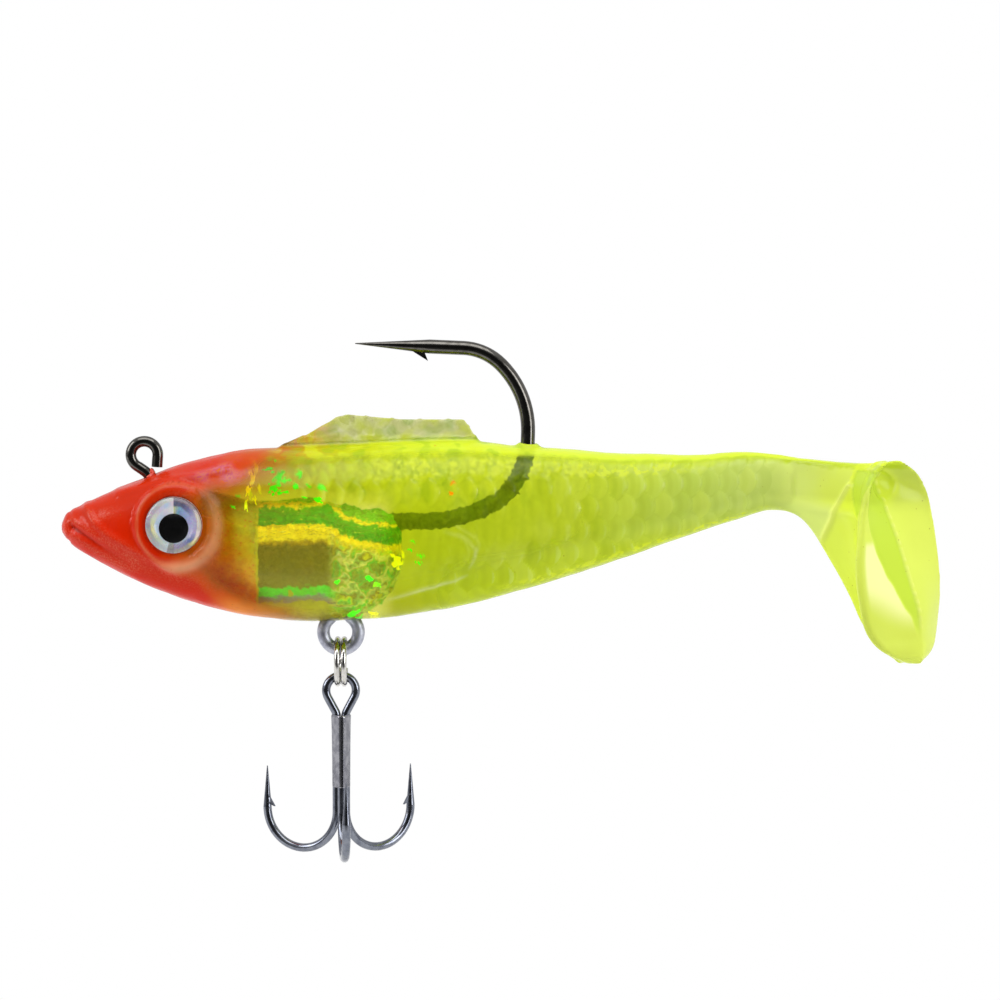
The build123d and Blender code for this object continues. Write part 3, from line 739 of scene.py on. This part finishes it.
class Tree:
    """Helpers that add nodes to one tree."""

    def __init__(self, tree):
        self.tree = tree

    def node(self, kind, settings=None, **sockets):
        made = self.tree.nodes.new("ShaderNode" + kind)
        for key, value in (settings or {}).items():
            setattr(made, key, value)
        for key, value in sockets.items():
            self.feed(made.inputs[key.replace("_", " ")], value)
        return made

    def feed(self, socket, value):
        if isinstance(value, bpy.types.NodeSocket):
            self.tree.links.new(value, socket)
        else:
            socket.default_value = value

    def split(self, vector):
        return self.node("SeparateXYZ", Vector=vector).outputs

    def choose(self, lighting, seen, output):
        """One shader for the light and another for what the camera sees."""
        made = self.node("MixShader", Fac=self.node("LightPath").outputs["Is Camera Ray"])
        self.feed(made.inputs[1], lighting.outputs[0])
        self.feed(made.inputs[2], seen.outputs[0])
        self.feed(output.inputs["Surface"], made.outputs[0])

    def math(self, operation, first, second=0, third=0, clamp=False):
        made = self.node("Math", {"operation": operation, "use_clamp": clamp})
        for socket, value in zip(made.inputs, (first, second, third)):
            self.feed(socket, value)
        return made.outputs["Value"]

    def times(self, first, *others):
        for other in others:
            first = self.math("MULTIPLY", first, other)
        return first

    def plus(self, first, *others):
        for other in others:
            first = self.math("ADD", first, other)
        return first

    def apart(self, value, centre):
        """How far a value is from a centre."""
        return self.math("ABSOLUTE", self.math("SUBTRACT", value, centre))

    def between(self, value, low, high, out_low=0, out_high=1):
        """Goes smoothly from out_low to out_high as the value goes from low to high."""
        made = self.node("MapRange", {"interpolation_type": "SMOOTHSTEP"}, Value=value)
        for key, number in (("From Min", low), ("From Max", high), ("To Min", out_low), ("To Max", out_high)):
            self.feed(made.inputs[key], number)
        return made.outputs["Result"]

    def vary(self, cloud, least, most):
        """A value that follows a noise."""
        return self.between(cloud, 0.3, 0.7, least, most)

    def span(self, value, start, full, last_full, end):
        """1 from full to last_full, and 0 before start and past end."""
        return self.times(self.between(value, start, full), self.between(value, end, last_full))

    def fade(self, share, least):
        """1 where the share is 0, down to least where it is 1."""
        return self.between(share, 0, 1, 1, least)

    def bent(self, vector, amount):
        """The same vector pushed about by noise."""
        push = self.node("TexNoise", Vector=vector, Scale=0.8, Detail=3).outputs["Color"]
        scaled = self.node("VectorMath", {"operation": "SCALE"}, Vector=push, Scale=amount)
        moved = self.node("VectorMath", {"operation": "ADD"}, Vector=vector)
        self.feed(moved.inputs[1], scaled.outputs["Vector"])
        return moved.outputs["Vector"]

    def noise(self, vector, scale, detail=2, roughness=0.5, distortion=0):
        settings = {"Scale": scale, "Detail": detail, "Roughness": roughness, "Distortion": distortion}
        return self.node("TexNoise", Vector=vector, **settings).outputs["Fac"]

    def cells(self, vector, scale, feature="F1", output="Distance"):
        return self.node("TexVoronoi", {"feature": feature}, Vector=vector, Scale=scale).outputs[output]

    def spots(self, vector, scale, size):
        """1 in a small spot at the middle of each cell."""
        return self.math("LESS_THAN", self.cells(vector, scale), size)

    def ramp(self, value, stops):
        """Colours by value, each stop as (value, red, green, blue)."""
        made = self.node("ValToRGB", Fac=value)
        elements = made.color_ramp.elements
        while len(elements) < len(stops):
            elements.new(0.5)
        for element, (place, *colour) in zip(elements, stops):
            element.position, element.color = place, tint(*colour)
        return made.outputs["Color"]

    def mix(self, share, first, second, blend="MIX"):
        made = self.node("Mix", {"data_type": "RGBA", "blend_type": blend})
        for key, value in (("Factor_Float", share), ("A_Color", first), ("B_Color", second)):
            self.feed(next(i for i in made.inputs if i.identifier == key), value)
        return next(o for o in made.outputs if o.identifier == "Result_Color")

    def coats(self, colour, *layers):
        """The colour under layers of others, each as (share, red, green, blue)."""
        for share, *over in layers:
            colour = self.mix(share, colour, tint(*over))
        return colour

    def bump(self, height, depth, strength):
        """Fine relief, its depth in millimetres."""
        return self.node("Bump", Height=height, Strength=strength, Distance=depth * MM).outputs["Normal"]


class Paint(Tree):
    """One material's nodes."""

    def __init__(self, name):
        self.material = bpy.data.materials.new(name)
        self.material.use_nodes = True
        super().__init__(self.material.node_tree)
        self.shader = self.tree.nodes["Principled BSDF"]

    def set(self, **sockets):
        for key, value in sockets.items():
            self.feed(self.shader.inputs[key.replace("_", " ")], value)

    def mark(self, name):
        return self.node("Attribute", {"attribute_name": name}).outputs["Fac"]

    def vector(self, name):
        return self.node("Attribute", {"attribute_name": name}).outputs["Vector"]

    def object_place(self):
        """Place in the row frame, in millimetres."""
        place = self.node("TexCoord").outputs["Object"]
        return self.node("VectorMath", {"operation": "SCALE"}, Vector=place, Scale=1 / MM).outputs["Vector"]

    def cover(self, *pieces):
        """Puts the material on pieces made here, or in every slot of pieces that the CAD made."""
        for made in pieces:
            for slot in made.material_slots:
                slot.material = self.material
            if not made.material_slots:
                made.data.materials.append(self.material)


class SkinPaint(Paint):
    """The soft plastic's nodes, with the places and marks that its colours follow."""

    def __init__(self):
        super().__init__("soft_plastic")
        self.place = self.vector("place")
        self.s, _, self.z = self.split(self.place)
        self.level, self.fin, self.scales = (self.mark(name) for name in ("level", "fin", "scales"))
        # Run is the place along the body for colours: ragged, and drawn forward at the belly and the back.
        wander = self.math("MULTIPLY_ADD", self.noise(self.place, 0.32, 3), 5, -2.5)
        belly = self.times(self.between(self.level, -0.45, -0.95), 5.5)
        back = self.times(self.between(self.level, 0.45, 0.9), self.between(self.s, 24, 12, 1, 5.5))
        run = self.math("SUBTRACT", self.plus(self.s, wander, 1.5), belly)
        self.run = self.math("SUBTRACT", run, back)
        low = self.between(self.level, -0.66, -0.9)
        self.orange_belly = self.times(low, self.span(self.s, 6, 10, 12, 18))
        self.upper = self.times(self.between(self.z, -6, -4), self.span(self.s, 12, 16, 36, 44))


def skin_zones(p):
    """Red head, amber neck, then green that turns yellower and paler towards the tail."""
    return p.ramp(p.math("DIVIDE", p.plus(p.run, 9), 90), [
        (0.00, 206, 30, 0), (0.14, 208, 36, 0), (0.175, 206, 86, 3), (0.205, 190, 132, 6),
        (0.25, 184, 166, 8), (0.33, 184, 190, 10), (0.42, 200, 217, 24), (0.62, 206, 223, 48),
        (0.74, 212, 230, 102), (0.80, 222, 238, 128), (0.86, 230, 244, 130), (0.92, 226, 240, 98),
        (1, 216, 230, 92),
    ])


def body_coats(p):
    """The window over the foil, a painted highlight along the top edge, and the scales with painted
    highlights on their crests, painted shade in the hollows between them and each scale's own tone.
    """
    window = p.times(p.between(p.run, 10, 13), p.between(p.s, 26, 23.4))
    window = p.times(window, p.between(p.z, -4.2, -5.4), p.between(p.level, -0.99, -0.86))
    ragged_level = p.plus(p.level, p.times(p.noise(p.place, 0.55, 2), 0.5))
    top_highlight = p.times(p.between(ragged_level, 0.92, 1.06), p.between(p.s, 20, 36))
    tone = p.mark("tone")
    return [
        (p.times(window, 0.9), 246, 246, 110),
        # Painted highlight along the top edge.
        (top_highlight, 206, 226, 52),
        # Painted highlights on the scales' crests, and painted shade in the hollows between the scales.
        (p.times(p.between(p.scales, 0.55, 0.8), 0.65), 218, 236, 110),
        (p.times(p.span(p.scales, 0.02, 0.12, 0.2, 0.4), 0.16), 140, 168, 10),
        (p.between(tone, 0.05, 0.5, 0, 0.42), 222, 236, 84),
        (p.between(tone, -0.05, -0.5, 0, 0.2), 150, 176, 20),
    ]


def line_coats(p):
    """The tail's painted light (a brighter web, highlights along the fold and on the rear face's patch, shade
    in the band) and its seam, the creases over the foil and the fin's thin blade.
    """
    return [
        # Painted light: the web made brighter beside the fold's painted highlight.
        (p.times(p.mark("web"), 0.6), 232, 250, 40),
        # Painted highlight along the web's fold.
        (p.times(p.mark("fold"), 0.85), 244, 252, 130),
        # Painted highlight on the near half of the rear face.
        (p.times(p.mark("highlight_patch"), 0.95), 255, 255, 176),
        # Painted shade in the recessed band between the highlight patch and the seam.
        (p.times(p.mark("shaded_band"), 0.8), 196, 224, 60),
        (p.times(p.mark("seam"), 0.7), 246, 252, 140),
        (p.times(p.mark("crease"), p.between(p.s, 20, 32, 0.5, 0.75)), 232, 240, 170),
        (p.times(p.mark("blade"), 0.9), 214, 214, 156),
    ]


def head_coats(p):
    """The fin's orange front edge, the pale ring round the eye, partly a painted highlight, painted shade in
    the mouth's slit and grainy painted highlights on the head.
    """
    highlight_grain = p.between(p.noise(p.place, 5.5, 4, 0.75), 0.44, 0.62)
    return [
        (p.times(p.fin, p.between(p.s, 20.5, 16), 0.75), 226, 140, 50),
        # Pale cream band on the broad ridge behind and below the eye, partly the plastic's cream and partly a
        # painted highlight on the ridge.
        (p.times(p.mark("ring"), 0.7), 232, 174, 130),
        (p.times(p.mark("ring_line"), 0.5), 224, 130, 84),
        # Painted shade in the mouth's slit.
        (p.times(p.between(p.mark("mouth"), 0.3, 0.9), 0.6), 140, 22, 6),
        # Grainy painted highlights on the head's facets, lips, cheek, jaw and neck.
        (p.times(p.mark("head_highlight"), p.math("MULTIPLY_ADD", highlight_grain, 0.42, 0.04)), 226, 128, 96),
    ]


def speckle_coats(p):
    """Broad patches, blotches on the upper flank, painted highlights on the upper scales' crests, freckles,
    rows of bright patches along the keel and, as painted highlights, along the back, and small specks.
    """
    blotch = p.noise(p.place, 0.5, 1)
    crown = p.times(p.between(p.level, 0, 0.8), p.between(p.run, 16, 8))
    freckle = p.times(p.spots(p.bent(p.place, 0.4), 1.8, 0.14), p.span(p.run, 2, 6, 12, 18))
    keel_row = p.times(p.span(p.level, -0.97, -0.91, -0.84, -0.78), p.span(p.s, 34, 40, 60, 66))
    back_highlight_row = p.times(p.span(p.level, 0.56, 0.64, 0.78, 0.86), p.span(p.s, 20, 26, 50, 60))
    patchy = p.between(p.noise(p.place, 1.5, 2), 0.49, 0.56)
    return [
        (p.times(p.orange_belly, 0.75), 240, 148, 50),
        (p.times(crown, 0.5), 176, 44, 0),
        (p.times(p.between(blotch, 0.5, 0.6), p.upper, 0.55), 208, 222, 30),
        (p.times(p.between(blotch, 0.46, 0.38), p.upper, 0.4), 136, 178, 20),
        # Painted highlights on the scales' crests of the upper flank.
        (p.times(p.between(p.scales, 0.25, 0.55), p.upper, 0.5), 220, 236, 34),
        (p.times(freckle, 0.45), 212, 66, 4),
        # Bright patches in rows along the keel, and along the back where they are painted highlights.
        (p.times(patchy, p.plus(keel_row, back_highlight_row), 0.75), 236, 248, 40),
        (p.times(p.spots(p.place, 0.8, 0.045), p.between(p.s, 4, 20, 0.3, 0.6)), 150, 130, 30),
        (p.times(p.spots(p.place, 0.45, 0.03), 0.7), 110, 70, 20),
        (p.times(p.spots(p.bent(p.place, 0.5), 0.31, 0.03), p.between(p.s, 50, 20, 0, 0.8)), 200, 90, 10),
    ]


def skin_clearness(p):
    """How far light passes through the plastic: none in the painted head, most over the foil."""
    low_rear = p.times(p.between(p.s, 26, 34), p.between(p.level, -0.2, -0.7))
    fin_foot = p.times(p.between(p.level, 0.84, 0.95), p.math("SUBTRACT", 1, p.fin))
    clear = p.times(p.between(p.run, 5, 10), p.between(p.run, 40, 52, 0.92, 0.5))
    clear = p.times(clear, p.math("SUBTRACT", 1, p.mark("sheen")))
    dulled = [(p.mark("on_tail"), 0.7), (fin_foot, 0.2), (low_rear, 0.5), (p.orange_belly, 0.5)]
    for share, least in [*dulled, (p.mark("ring"), 0.7)]:
        clear = p.times(clear, p.fade(share, least))
    return clear


def paint_skin(skin):
    p = SkinPaint()
    colour = p.coats(skin_zones(p), *body_coats(p), *line_coats(p))
    shards = p.split(p.cells(p.bent(p.place, 1.2), 1.15, output="Color"))[0]
    milky = p.ramp(shards, [(0, 192, 194, 110), (0.5, 220, 222, 150), (1, 244, 244, 196)])
    colour = p.mix(p.times(p.fin, 0.55), colour, milky)
    colour = p.coats(colour, *head_coats(p))
    sheen = p.ramp(p.noise(p.bent(p.place, 1.5), 1.1, 3), [
        (0.30, 206, 110, 50), (0.42, 186, 130, 190), (0.50, 226, 180, 150), (0.56, 160, 120, 200),
        (0.66, 216, 150, 50),
    ])
    colour = p.mix(p.times(p.mark("sheen"), 0.8), colour, sheen)
    colour = p.coats(colour, *speckle_coats(p))
    grain = p.noise(p.place, 3.2, 3)
    painted_head = p.between(p.run, 12, 4)
    normal = p.bump(p.times(grain, p.math("MULTIPLY_ADD", painted_head, 0.75, 0.25)), 0.04, 0.6)
    coat = p.times(p.between(p.run, 4, 14, 0.19, 0.2), p.between(p.level, -0.3, -0.75, 1, 0.3))
    p.set(Base_Color=colour, Transmission_Weight=skin_clearness(p), IOR=1.12, Normal=normal)
    p.set(Roughness=p.vary(grain, 0.17, 0.27))
    p.set(Coat_Weight=coat, Coat_Roughness=0.16, Coat_IOR=1.6, Coat_Normal=normal)
    p.cover(skin)


def paint_metal(name, base, worn, roughness, nodes):
    """Plated wire: two tones, fine draw marks and small scratches."""
    p = Paint(name)
    place = p.object_place()
    marks = p.noise(place, 6, 5, 0.7, 1.2)
    scratch = p.math("LESS_THAN", p.cells(place, 1.2, "DISTANCE_TO_EDGE"), 0.008)
    colour = p.mix(p.between(p.noise(place, 1.3, 4), 0.35, 0.7), tint(*base), tint(*worn))
    colour = p.coats(colour, (p.times(scratch, 0.2), 170, 160, 150))
    p.set(Base_Color=colour, Roughness=p.between(marks, 0.3, 0.75, roughness, roughness + 0.10))
    p.set(Normal=p.bump(marks, 0.004, 0.25), Metallic=1)
    p.cover(*(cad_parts[node] for node in nodes))


def eye_print():
    """The printed disc: three rings of pearly hues by angle, split down the middle, inside a white edge."""
    p = Paint("eye_print")
    place = p.object_place()
    x, _, z = p.split(place)
    across, up = p.math("SUBTRACT", x, EYE.x), p.math("SUBTRACT", z, EYE.z)
    share = p.math("MULTIPLY_ADD", p.math("ARCTAN2", across, up), 0.5 / pi, 0.5)
    radius = p.math("SQRT", p.plus(p.times(across, across), p.times(up, up)))
    outer = p.ramp(share, [
        (0.00, 140, 134, 138), (0.04, 150, 146, 150), (0.045, 204, 210, 210), (0.15, 186, 186, 182),
        (0.25, 178, 172, 178), (0.34, 206, 194, 208), (0.43, 222, 224, 214), (0.497, 240, 236, 230),
        (0.503, 110, 98, 112), (0.58, 134, 106, 122), (0.65, 180, 164, 180), (0.69, 242, 230, 208),
        (0.76, 244, 234, 216), (0.81, 238, 216, 210), (0.86, 242, 224, 116), (0.91, 170, 160, 150),
    ])
    middle = p.ramp(share, [
        (0.00, 150, 150, 140), (0.04, 160, 160, 150), (0.045, 208, 220, 220), (0.14, 206, 216, 190),
        (0.22, 236, 226, 150), (0.30, 228, 236, 208), (0.38, 226, 212, 230), (0.45, 206, 222, 244),
        (0.497, 244, 228, 232), (0.503, 80, 84, 122), (0.57, 86, 80, 118), (0.62, 116, 116, 170),
        (0.70, 194, 190, 226), (0.80, 200, 190, 228), (0.87, 106, 128, 192), (0.93, 164, 154, 184),
    ])
    inner = p.ramp(share, [
        (0.00, 180, 194, 184), (0.04, 186, 198, 190), (0.045, 218, 232, 236), (0.20, 208, 226, 242),
        (0.32, 204, 220, 242), (0.41, 228, 220, 232), (0.497, 240, 242, 240), (0.503, 206, 200, 136),
        (0.55, 116, 170, 194), (0.61, 150, 170, 214), (0.72, 188, 188, 230), (0.82, 208, 204, 234),
        (0.92, 192, 208, 218),
    ])
    wave = p.plus(radius, p.math("MULTIPLY_ADD", p.noise(place, 0.7, 2), 0.5, -0.25))
    colour = p.mix(p.between(wave, 1.7, 1.95), inner, middle)
    colour = p.mix(p.between(wave, 2.15, 2.35), colour, outer)
    colour = p.coats(colour, (p.between(radius, 2.66, 2.76), 232, 230, 228))
    colour = p.mix(0.16, colour, p.cells(place, 9, output="Color"), "OVERLAY")
    p.set(Base_Color=colour, Roughness=p.vary(p.noise(place, 6, 2), 0.25, 0.4))
    # Painted light: the print glows a little to make up for the light that the dome keeps off it.
    p.set(Emission_Color=colour, Emission_Strength=0.26)
    return p


def pupil_ink():
    p = Paint("pupil_ink")
    place = p.object_place()
    p.set(Base_Color=p.mix(p.noise(place, 4, 3), tint(6, 6, 6), tint(18, 17, 18)))
    p.set(Roughness=p.vary(p.noise(place, 5, 2), 0.18, 0.34), Specular_IOR_Level=0)
    return p


def clear_dome():
    p = Paint("eye_dome")
    p.set(Normal=p.bump(p.noise(p.object_place(), 0.8, 2), 0.03, 0.5))
    p.set(Base_Color=(0.97, 0.985, 1, 1), Roughness=0.03, Transmission_Weight=1, IOR=1.4)
    return p


def paint_eyes(eyes):
    for paint, pieces in zip((eye_print(), pupil_ink(), clear_dome()), zip(*eyes)):
        paint.cover(*pieces)


def paint_lead():
    p = Paint("lead")
    place = p.object_place()
    grain = p.noise(place, 1.6, 5, 0.65)
    front = p.ramp(grain, [(0.25, 206, 140, 20), (0.75, 236, 190, 50)])
    rear = p.ramp(grain, [(0.25, 160, 170, 24), (0.75, 200, 206, 44)])
    colour = p.mix(p.between(p.split(place)[0], 9, 14), front, rear)
    p.set(Base_Color=colour, Metallic=0.1, Roughness=p.vary(grain, 0.45, 0.65))
    # Painted light: a faint glow that stands in for light reaching the lead through the skin.
    p.set(Normal=p.bump(grain, 0.1, 0.6), Emission_Color=colour, Emission_Strength=0.12)
    p.cover(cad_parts["lead_weight"])


def foil_bands(p, above, loose):
    """Green above the fold, gold along it, an olive panel below and mixed hues where it is loose."""
    bands = p.ramp(p.math("DIVIDE", p.plus(above, 8), 12, clamp=True), [
        (0.00, 176, 176, 40), (0.07, 170, 170, 40), (0.085, 140, 116, 176), (0.12, 120, 150, 196),
        (0.14, 70, 220, 90), (0.195, 70, 224, 70), (0.21, 120, 118, 14), (0.55, 112, 100, 10),
        (0.58, 180, 150, 20), (0.61, 255, 236, 40), (0.71, 255, 228, 36), (0.725, 96, 176, 10),
        (0.745, 50, 160, 8), (0.85, 84, 184, 20), (0.86, 255, 236, 60), (0.876, 255, 226, 60),
        (0.885, 120, 200, 50), (1, 120, 200, 60),
    ])
    mixed = p.ramp(p.noise(p.bent(p.vector("place"), 1.2), 0.5, 2), [
        (0.30, 120, 150, 36), (0.38, 150, 186, 60), (0.43, 80, 216, 100), (0.47, 176, 206, 80),
        (0.51, 236, 240, 200), (0.54, 170, 220, 150), (0.60, 140, 138, 60), (0.66, 226, 232, 60),
        (0.72, 120, 220, 110),
    ])
    return p.mix(p.times(loose, 0.8), bands, mixed)


def bare_amber(p, place, s, z):
    """The plastic ahead of the foil, which shows amber with red flecks."""
    toward = p.plus(p.times(p.plus(s, z), 0.06), p.times(p.noise(place, 0.9, 4, 0.7), 0.5))
    plain = p.ramp(toward, [(0, 222, 110, 8), (0.2, 218, 158, 12), (0.42, 192, 182, 20), (0.6, 176, 186, 24)])
    flecks = p.spots(p.bent(place, 0.4), 2, 0.2)
    return p.coats(plain, (p.times(flecks, 0.6), 208, 70, 10))


def paint_foil(foil):
    """Holographic foil with drawn lines and glints along it."""
    p = Paint("holographic_foil")
    place = p.vector("place")
    s, _, z = p.split(place)
    jag = p.math("MULTIPLY_ADD", p.noise(place, 1.1, 4, 0.7), 1.6, -0.8)
    above = p.plus(p.mark("above"), jag)
    loose = p.times(p.between(s, 18.6, 20.2), p.between(above, 0.2, -0.8))
    panel = p.times(p.between(above, -0.9, -1.4), p.between(s, 19.6, 18.6))
    stretched = p.node("VectorMath", {"operation": "MULTIPLY"}, Vector=p.bent(place, 1))
    stretched.inputs[1].default_value = (0.25, 1, 1.6)
    drawn = stretched.outputs["Vector"]
    lines = p.between(p.apart(p.noise(drawn, 1.2, 3, 0.6), 0.5), 0.028, 0.006)
    lines = p.times(lines, p.between(panel, 0, 1, 0.42, 0.12), p.fade(loose, 0.4))
    facet = p.split(p.cells(p.bent(place, 0.6), 0.95, output="Color"))[1]
    shade = p.times(p.between(facet, 0.55, 0.9), p.between(loose, 0, 1, 0.1, 0.34))
    glints = p.between(p.noise(drawn, 2.6, 3, 0.6), 0.62, 0.72)
    glints = p.times(glints, p.between(panel, 0, 1, 0.7, 0.1))
    colour = foil_bands(p, above, loose)
    colour = p.coats(colour, (lines, 120, 92, 4), (shade, 150, 110, 16), (glints, 255, 255, 150))
    ahead = p.between(p.plus(s, jag), 11.9, 11.5)
    colour = p.mix(ahead, colour, bare_amber(p, place, s, z))
    seam = p.math("ABSOLUTE", p.plus(p.math("SUBTRACT", s, 11.75), p.times(jag, 0.25)))
    colour = p.coats(colour, (p.times(p.between(seam, 0.17, 0.05), 0.7), 206, 206, 56))
    p.set(Base_Color=colour, Roughness=p.vary(p.noise(place, 1.8, 3), 0.2, 0.36), Metallic=0.1)
    # Painted light: a faint glow that stands in for light reaching the foil through the skin.
    p.set(Normal=p.bump(p.noise(drawn, 2, 4, 0.6), 0.12, 0.6), Emission_Color=colour, Emission_Strength=0.2)
    p.cover(foil)


def paint_flakes(flakes):
    p = Paint("foil_scraps")
    place = p.object_place()
    shift = p.math("MULTIPLY_ADD", p.noise(place, 2.5, 3), 0.12, -0.06)
    hue = p.ramp(p.plus(p.mark("hue"), shift), [
        (0, 250, 120, 20), (0.07, 244, 200, 20), (0.2, 246, 240, 10), (0.33, 70, 255, 10),
        (0.42, 20, 250, 40), (0.7, 200, 170, 210), (0.85, 170, 130, 220),
    ])
    p.set(Base_Color=hue, Roughness=0.3, Normal=p.bump(p.noise(place, 4, 3), 0.1, 0.6))
    # Painted light: the scraps glow to stand in for light reaching them through the skin.
    p.set(Emission_Color=hue, Emission_Strength=0.8, Metallic=0.3)
    p.cover(flakes)


def paint_braze(braze):
    """Bright solder with a groove between two of the wires, painted dark as shade."""
    p = Paint("braze")
    place = p.object_place()
    x, y, _ = p.split(place)
    flow = p.noise(place, 1.4, 4, 0.6)
    colour = p.mix(p.between(flow, 0.35, 0.65), tint(150, 150, 156), tint(120, 120, 128))
    # Painted shade in the groove between two of the wires.
    shaded_groove = p.times(p.between(p.apart(x, TREBLE_X + 0.1), 0.10, 0.03), p.between(y, -0.5, -0.8))
    colour = p.coats(colour, (shaded_groove, 26, 26, 32))
    p.set(Base_Color=colour, Roughness=p.vary(flow, 0.16, 0.26), Metallic=1)
    p.set(Normal=p.bump(p.math("SUBTRACT", p.times(flow, 0.5), shaded_groove), 0.04, 0.6))
    p.cover(braze)


def paint_smudge(smudge):
    p = Paint("red_paint")
    cloud = p.noise(p.object_place(), 2, 3)
    p.set(Base_Color=p.ramp(cloud, [(0.3, 196, 30, 10), (0.7, 226, 84, 56)]))
    p.set(Roughness=p.vary(cloud, 0.25, 0.5), Normal=p.bump(cloud, 0.1, 0.6))
    p.cover(smudge)


def paint_sleeve(sleeve):
    p = Paint("sleeve_plastic")
    cloud = p.noise(p.object_place(), 1.5, 4, 0.65)
    p.set(Base_Color=p.ramp(cloud, [(0.3, 100, 122, 8), (0.55, 126, 148, 18), (0.75, 160, 172, 70)]))
    p.set(Normal=p.bump(cloud, 0.2, 0.8), Roughness=p.vary(cloud, 0.35, 0.6))
    p.cover(sleeve)


# ---------------------------------------------------------------- stage, lights and camera
def make_stage():
    """A round pale floor that looks white to the camera and is dark on the photographer's side."""
    radius, gap = 6, 0.03
    disc = [(radius * cos(a), radius * sin(a), cad_box[0].z - gap) for a in around(96)]
    floor = mesh_object("floor", np.array(disc), [tuple(range(96))])
    p = Paint("floor_paint")
    lit = p.between(p.split(p.object_place())[1], -160, -50)
    shade = p.mix(lit, (0.03, 0.03, 0.03, 1), (0.65, 0.65, 0.65, 1))
    p.set(Base_Color=shade, Roughness=0.8, Emission_Color=WHITE, Emission_Strength=p.times(lit, 0.3))
    seen = p.node("Emission", Color=WHITE, Strength=1)
    p.choose(p.shader, seen, p.tree.nodes["Material Output"])
    p.cover(floor)


def make_camera():
    data = bpy.data.cameras.new("camera")
    camera = linked("camera", data)
    bpy.context.scene.camera = camera
    elevation, distance, view_width = radians(4.5), 0.42, 0.1025
    target = Vector((0.03642, 0, -0.00465))
    away = Vector((0, -cos(elevation), sin(elevation)))
    camera.location = target + away * distance
    camera.rotation_euler = (-away).to_track_quat("-Z", "Y").to_euler()
    data.sensor_width = 36
    data.lens = data.sensor_width * distance / view_width
    data.clip_start, data.clip_end = 0.01, 20


def make_world():
    """A white tent with a dark opening where the photographer stands."""
    world = bpy.data.worlds.new("studio")
    bpy.context.scene.world = world
    world.use_nodes = True
    tent = Tree(world.node_tree)
    toward = tent.split(tent.node("TexCoord").outputs["Generated"])["Y"]
    lighting = tent.tree.nodes["Background"]
    tent.feed(lighting.inputs["Color"], WHITE)
    tent.feed(lighting.inputs["Strength"], tent.between(toward, -0.95, -0.35, 0.04, 0.8))
    tent.choose(lighting, tent.node("Background", Color=WHITE), tent.tree.nodes["World Output"])


def add_softbox(name, place, target, size, power):
    data = bpy.data.lights.new(name, "AREA")
    data.shape = "RECTANGLE"
    data.size, data.size_y = size
    data.energy = power
    light = linked(name, data)
    light.location = place
    light.rotation_euler = (Vector(target) - Vector(place)).to_track_quat("-Z", "Y").to_euler()


skin = make_skin()
paint_skin(skin)
paint_metal("black_nickel", (98, 96, 92), (80, 78, 74), 0.09, ["single_hook", "line_tie"])
paint_metal("blued_nickel", (126, 130, 140), (102, 106, 118), 0.11, ["treble_twin_hook", "treble_third_hook"])
paint_braze(make_braze())
paint_metal("bright_nickel", (206, 204, 200), (176, 174, 170), 0.12, ["split_ring"])
paint_metal("tinned_wire", (188, 190, 202), (154, 156, 170), 0.44, ["belly_eye"])
paint_eyes(make_eyes())
paint_lead()
paint_foil(make_foil())
paint_flakes(make_flakes())
paint_sleeve(make_shank_film())
paint_smudge(make_smudge())

make_stage()
make_camera()
make_world()
add_softbox("top_box", (0.03, -0.16, 0.42), (0.03, 0, 0), (0.5, 0.3), 1.35)
add_softbox("left_box", (-0.42, -0.14, 0.22), (0.03, 0, 0), (0.2, 0.3), 1.05)
add_softbox("right_box", (0.45, -0.30, 0.10), (0.05, 0, 0), (0.2, 0.4), 1.25)
bpy.context.scene.view_settings.view_transform = "Standard"
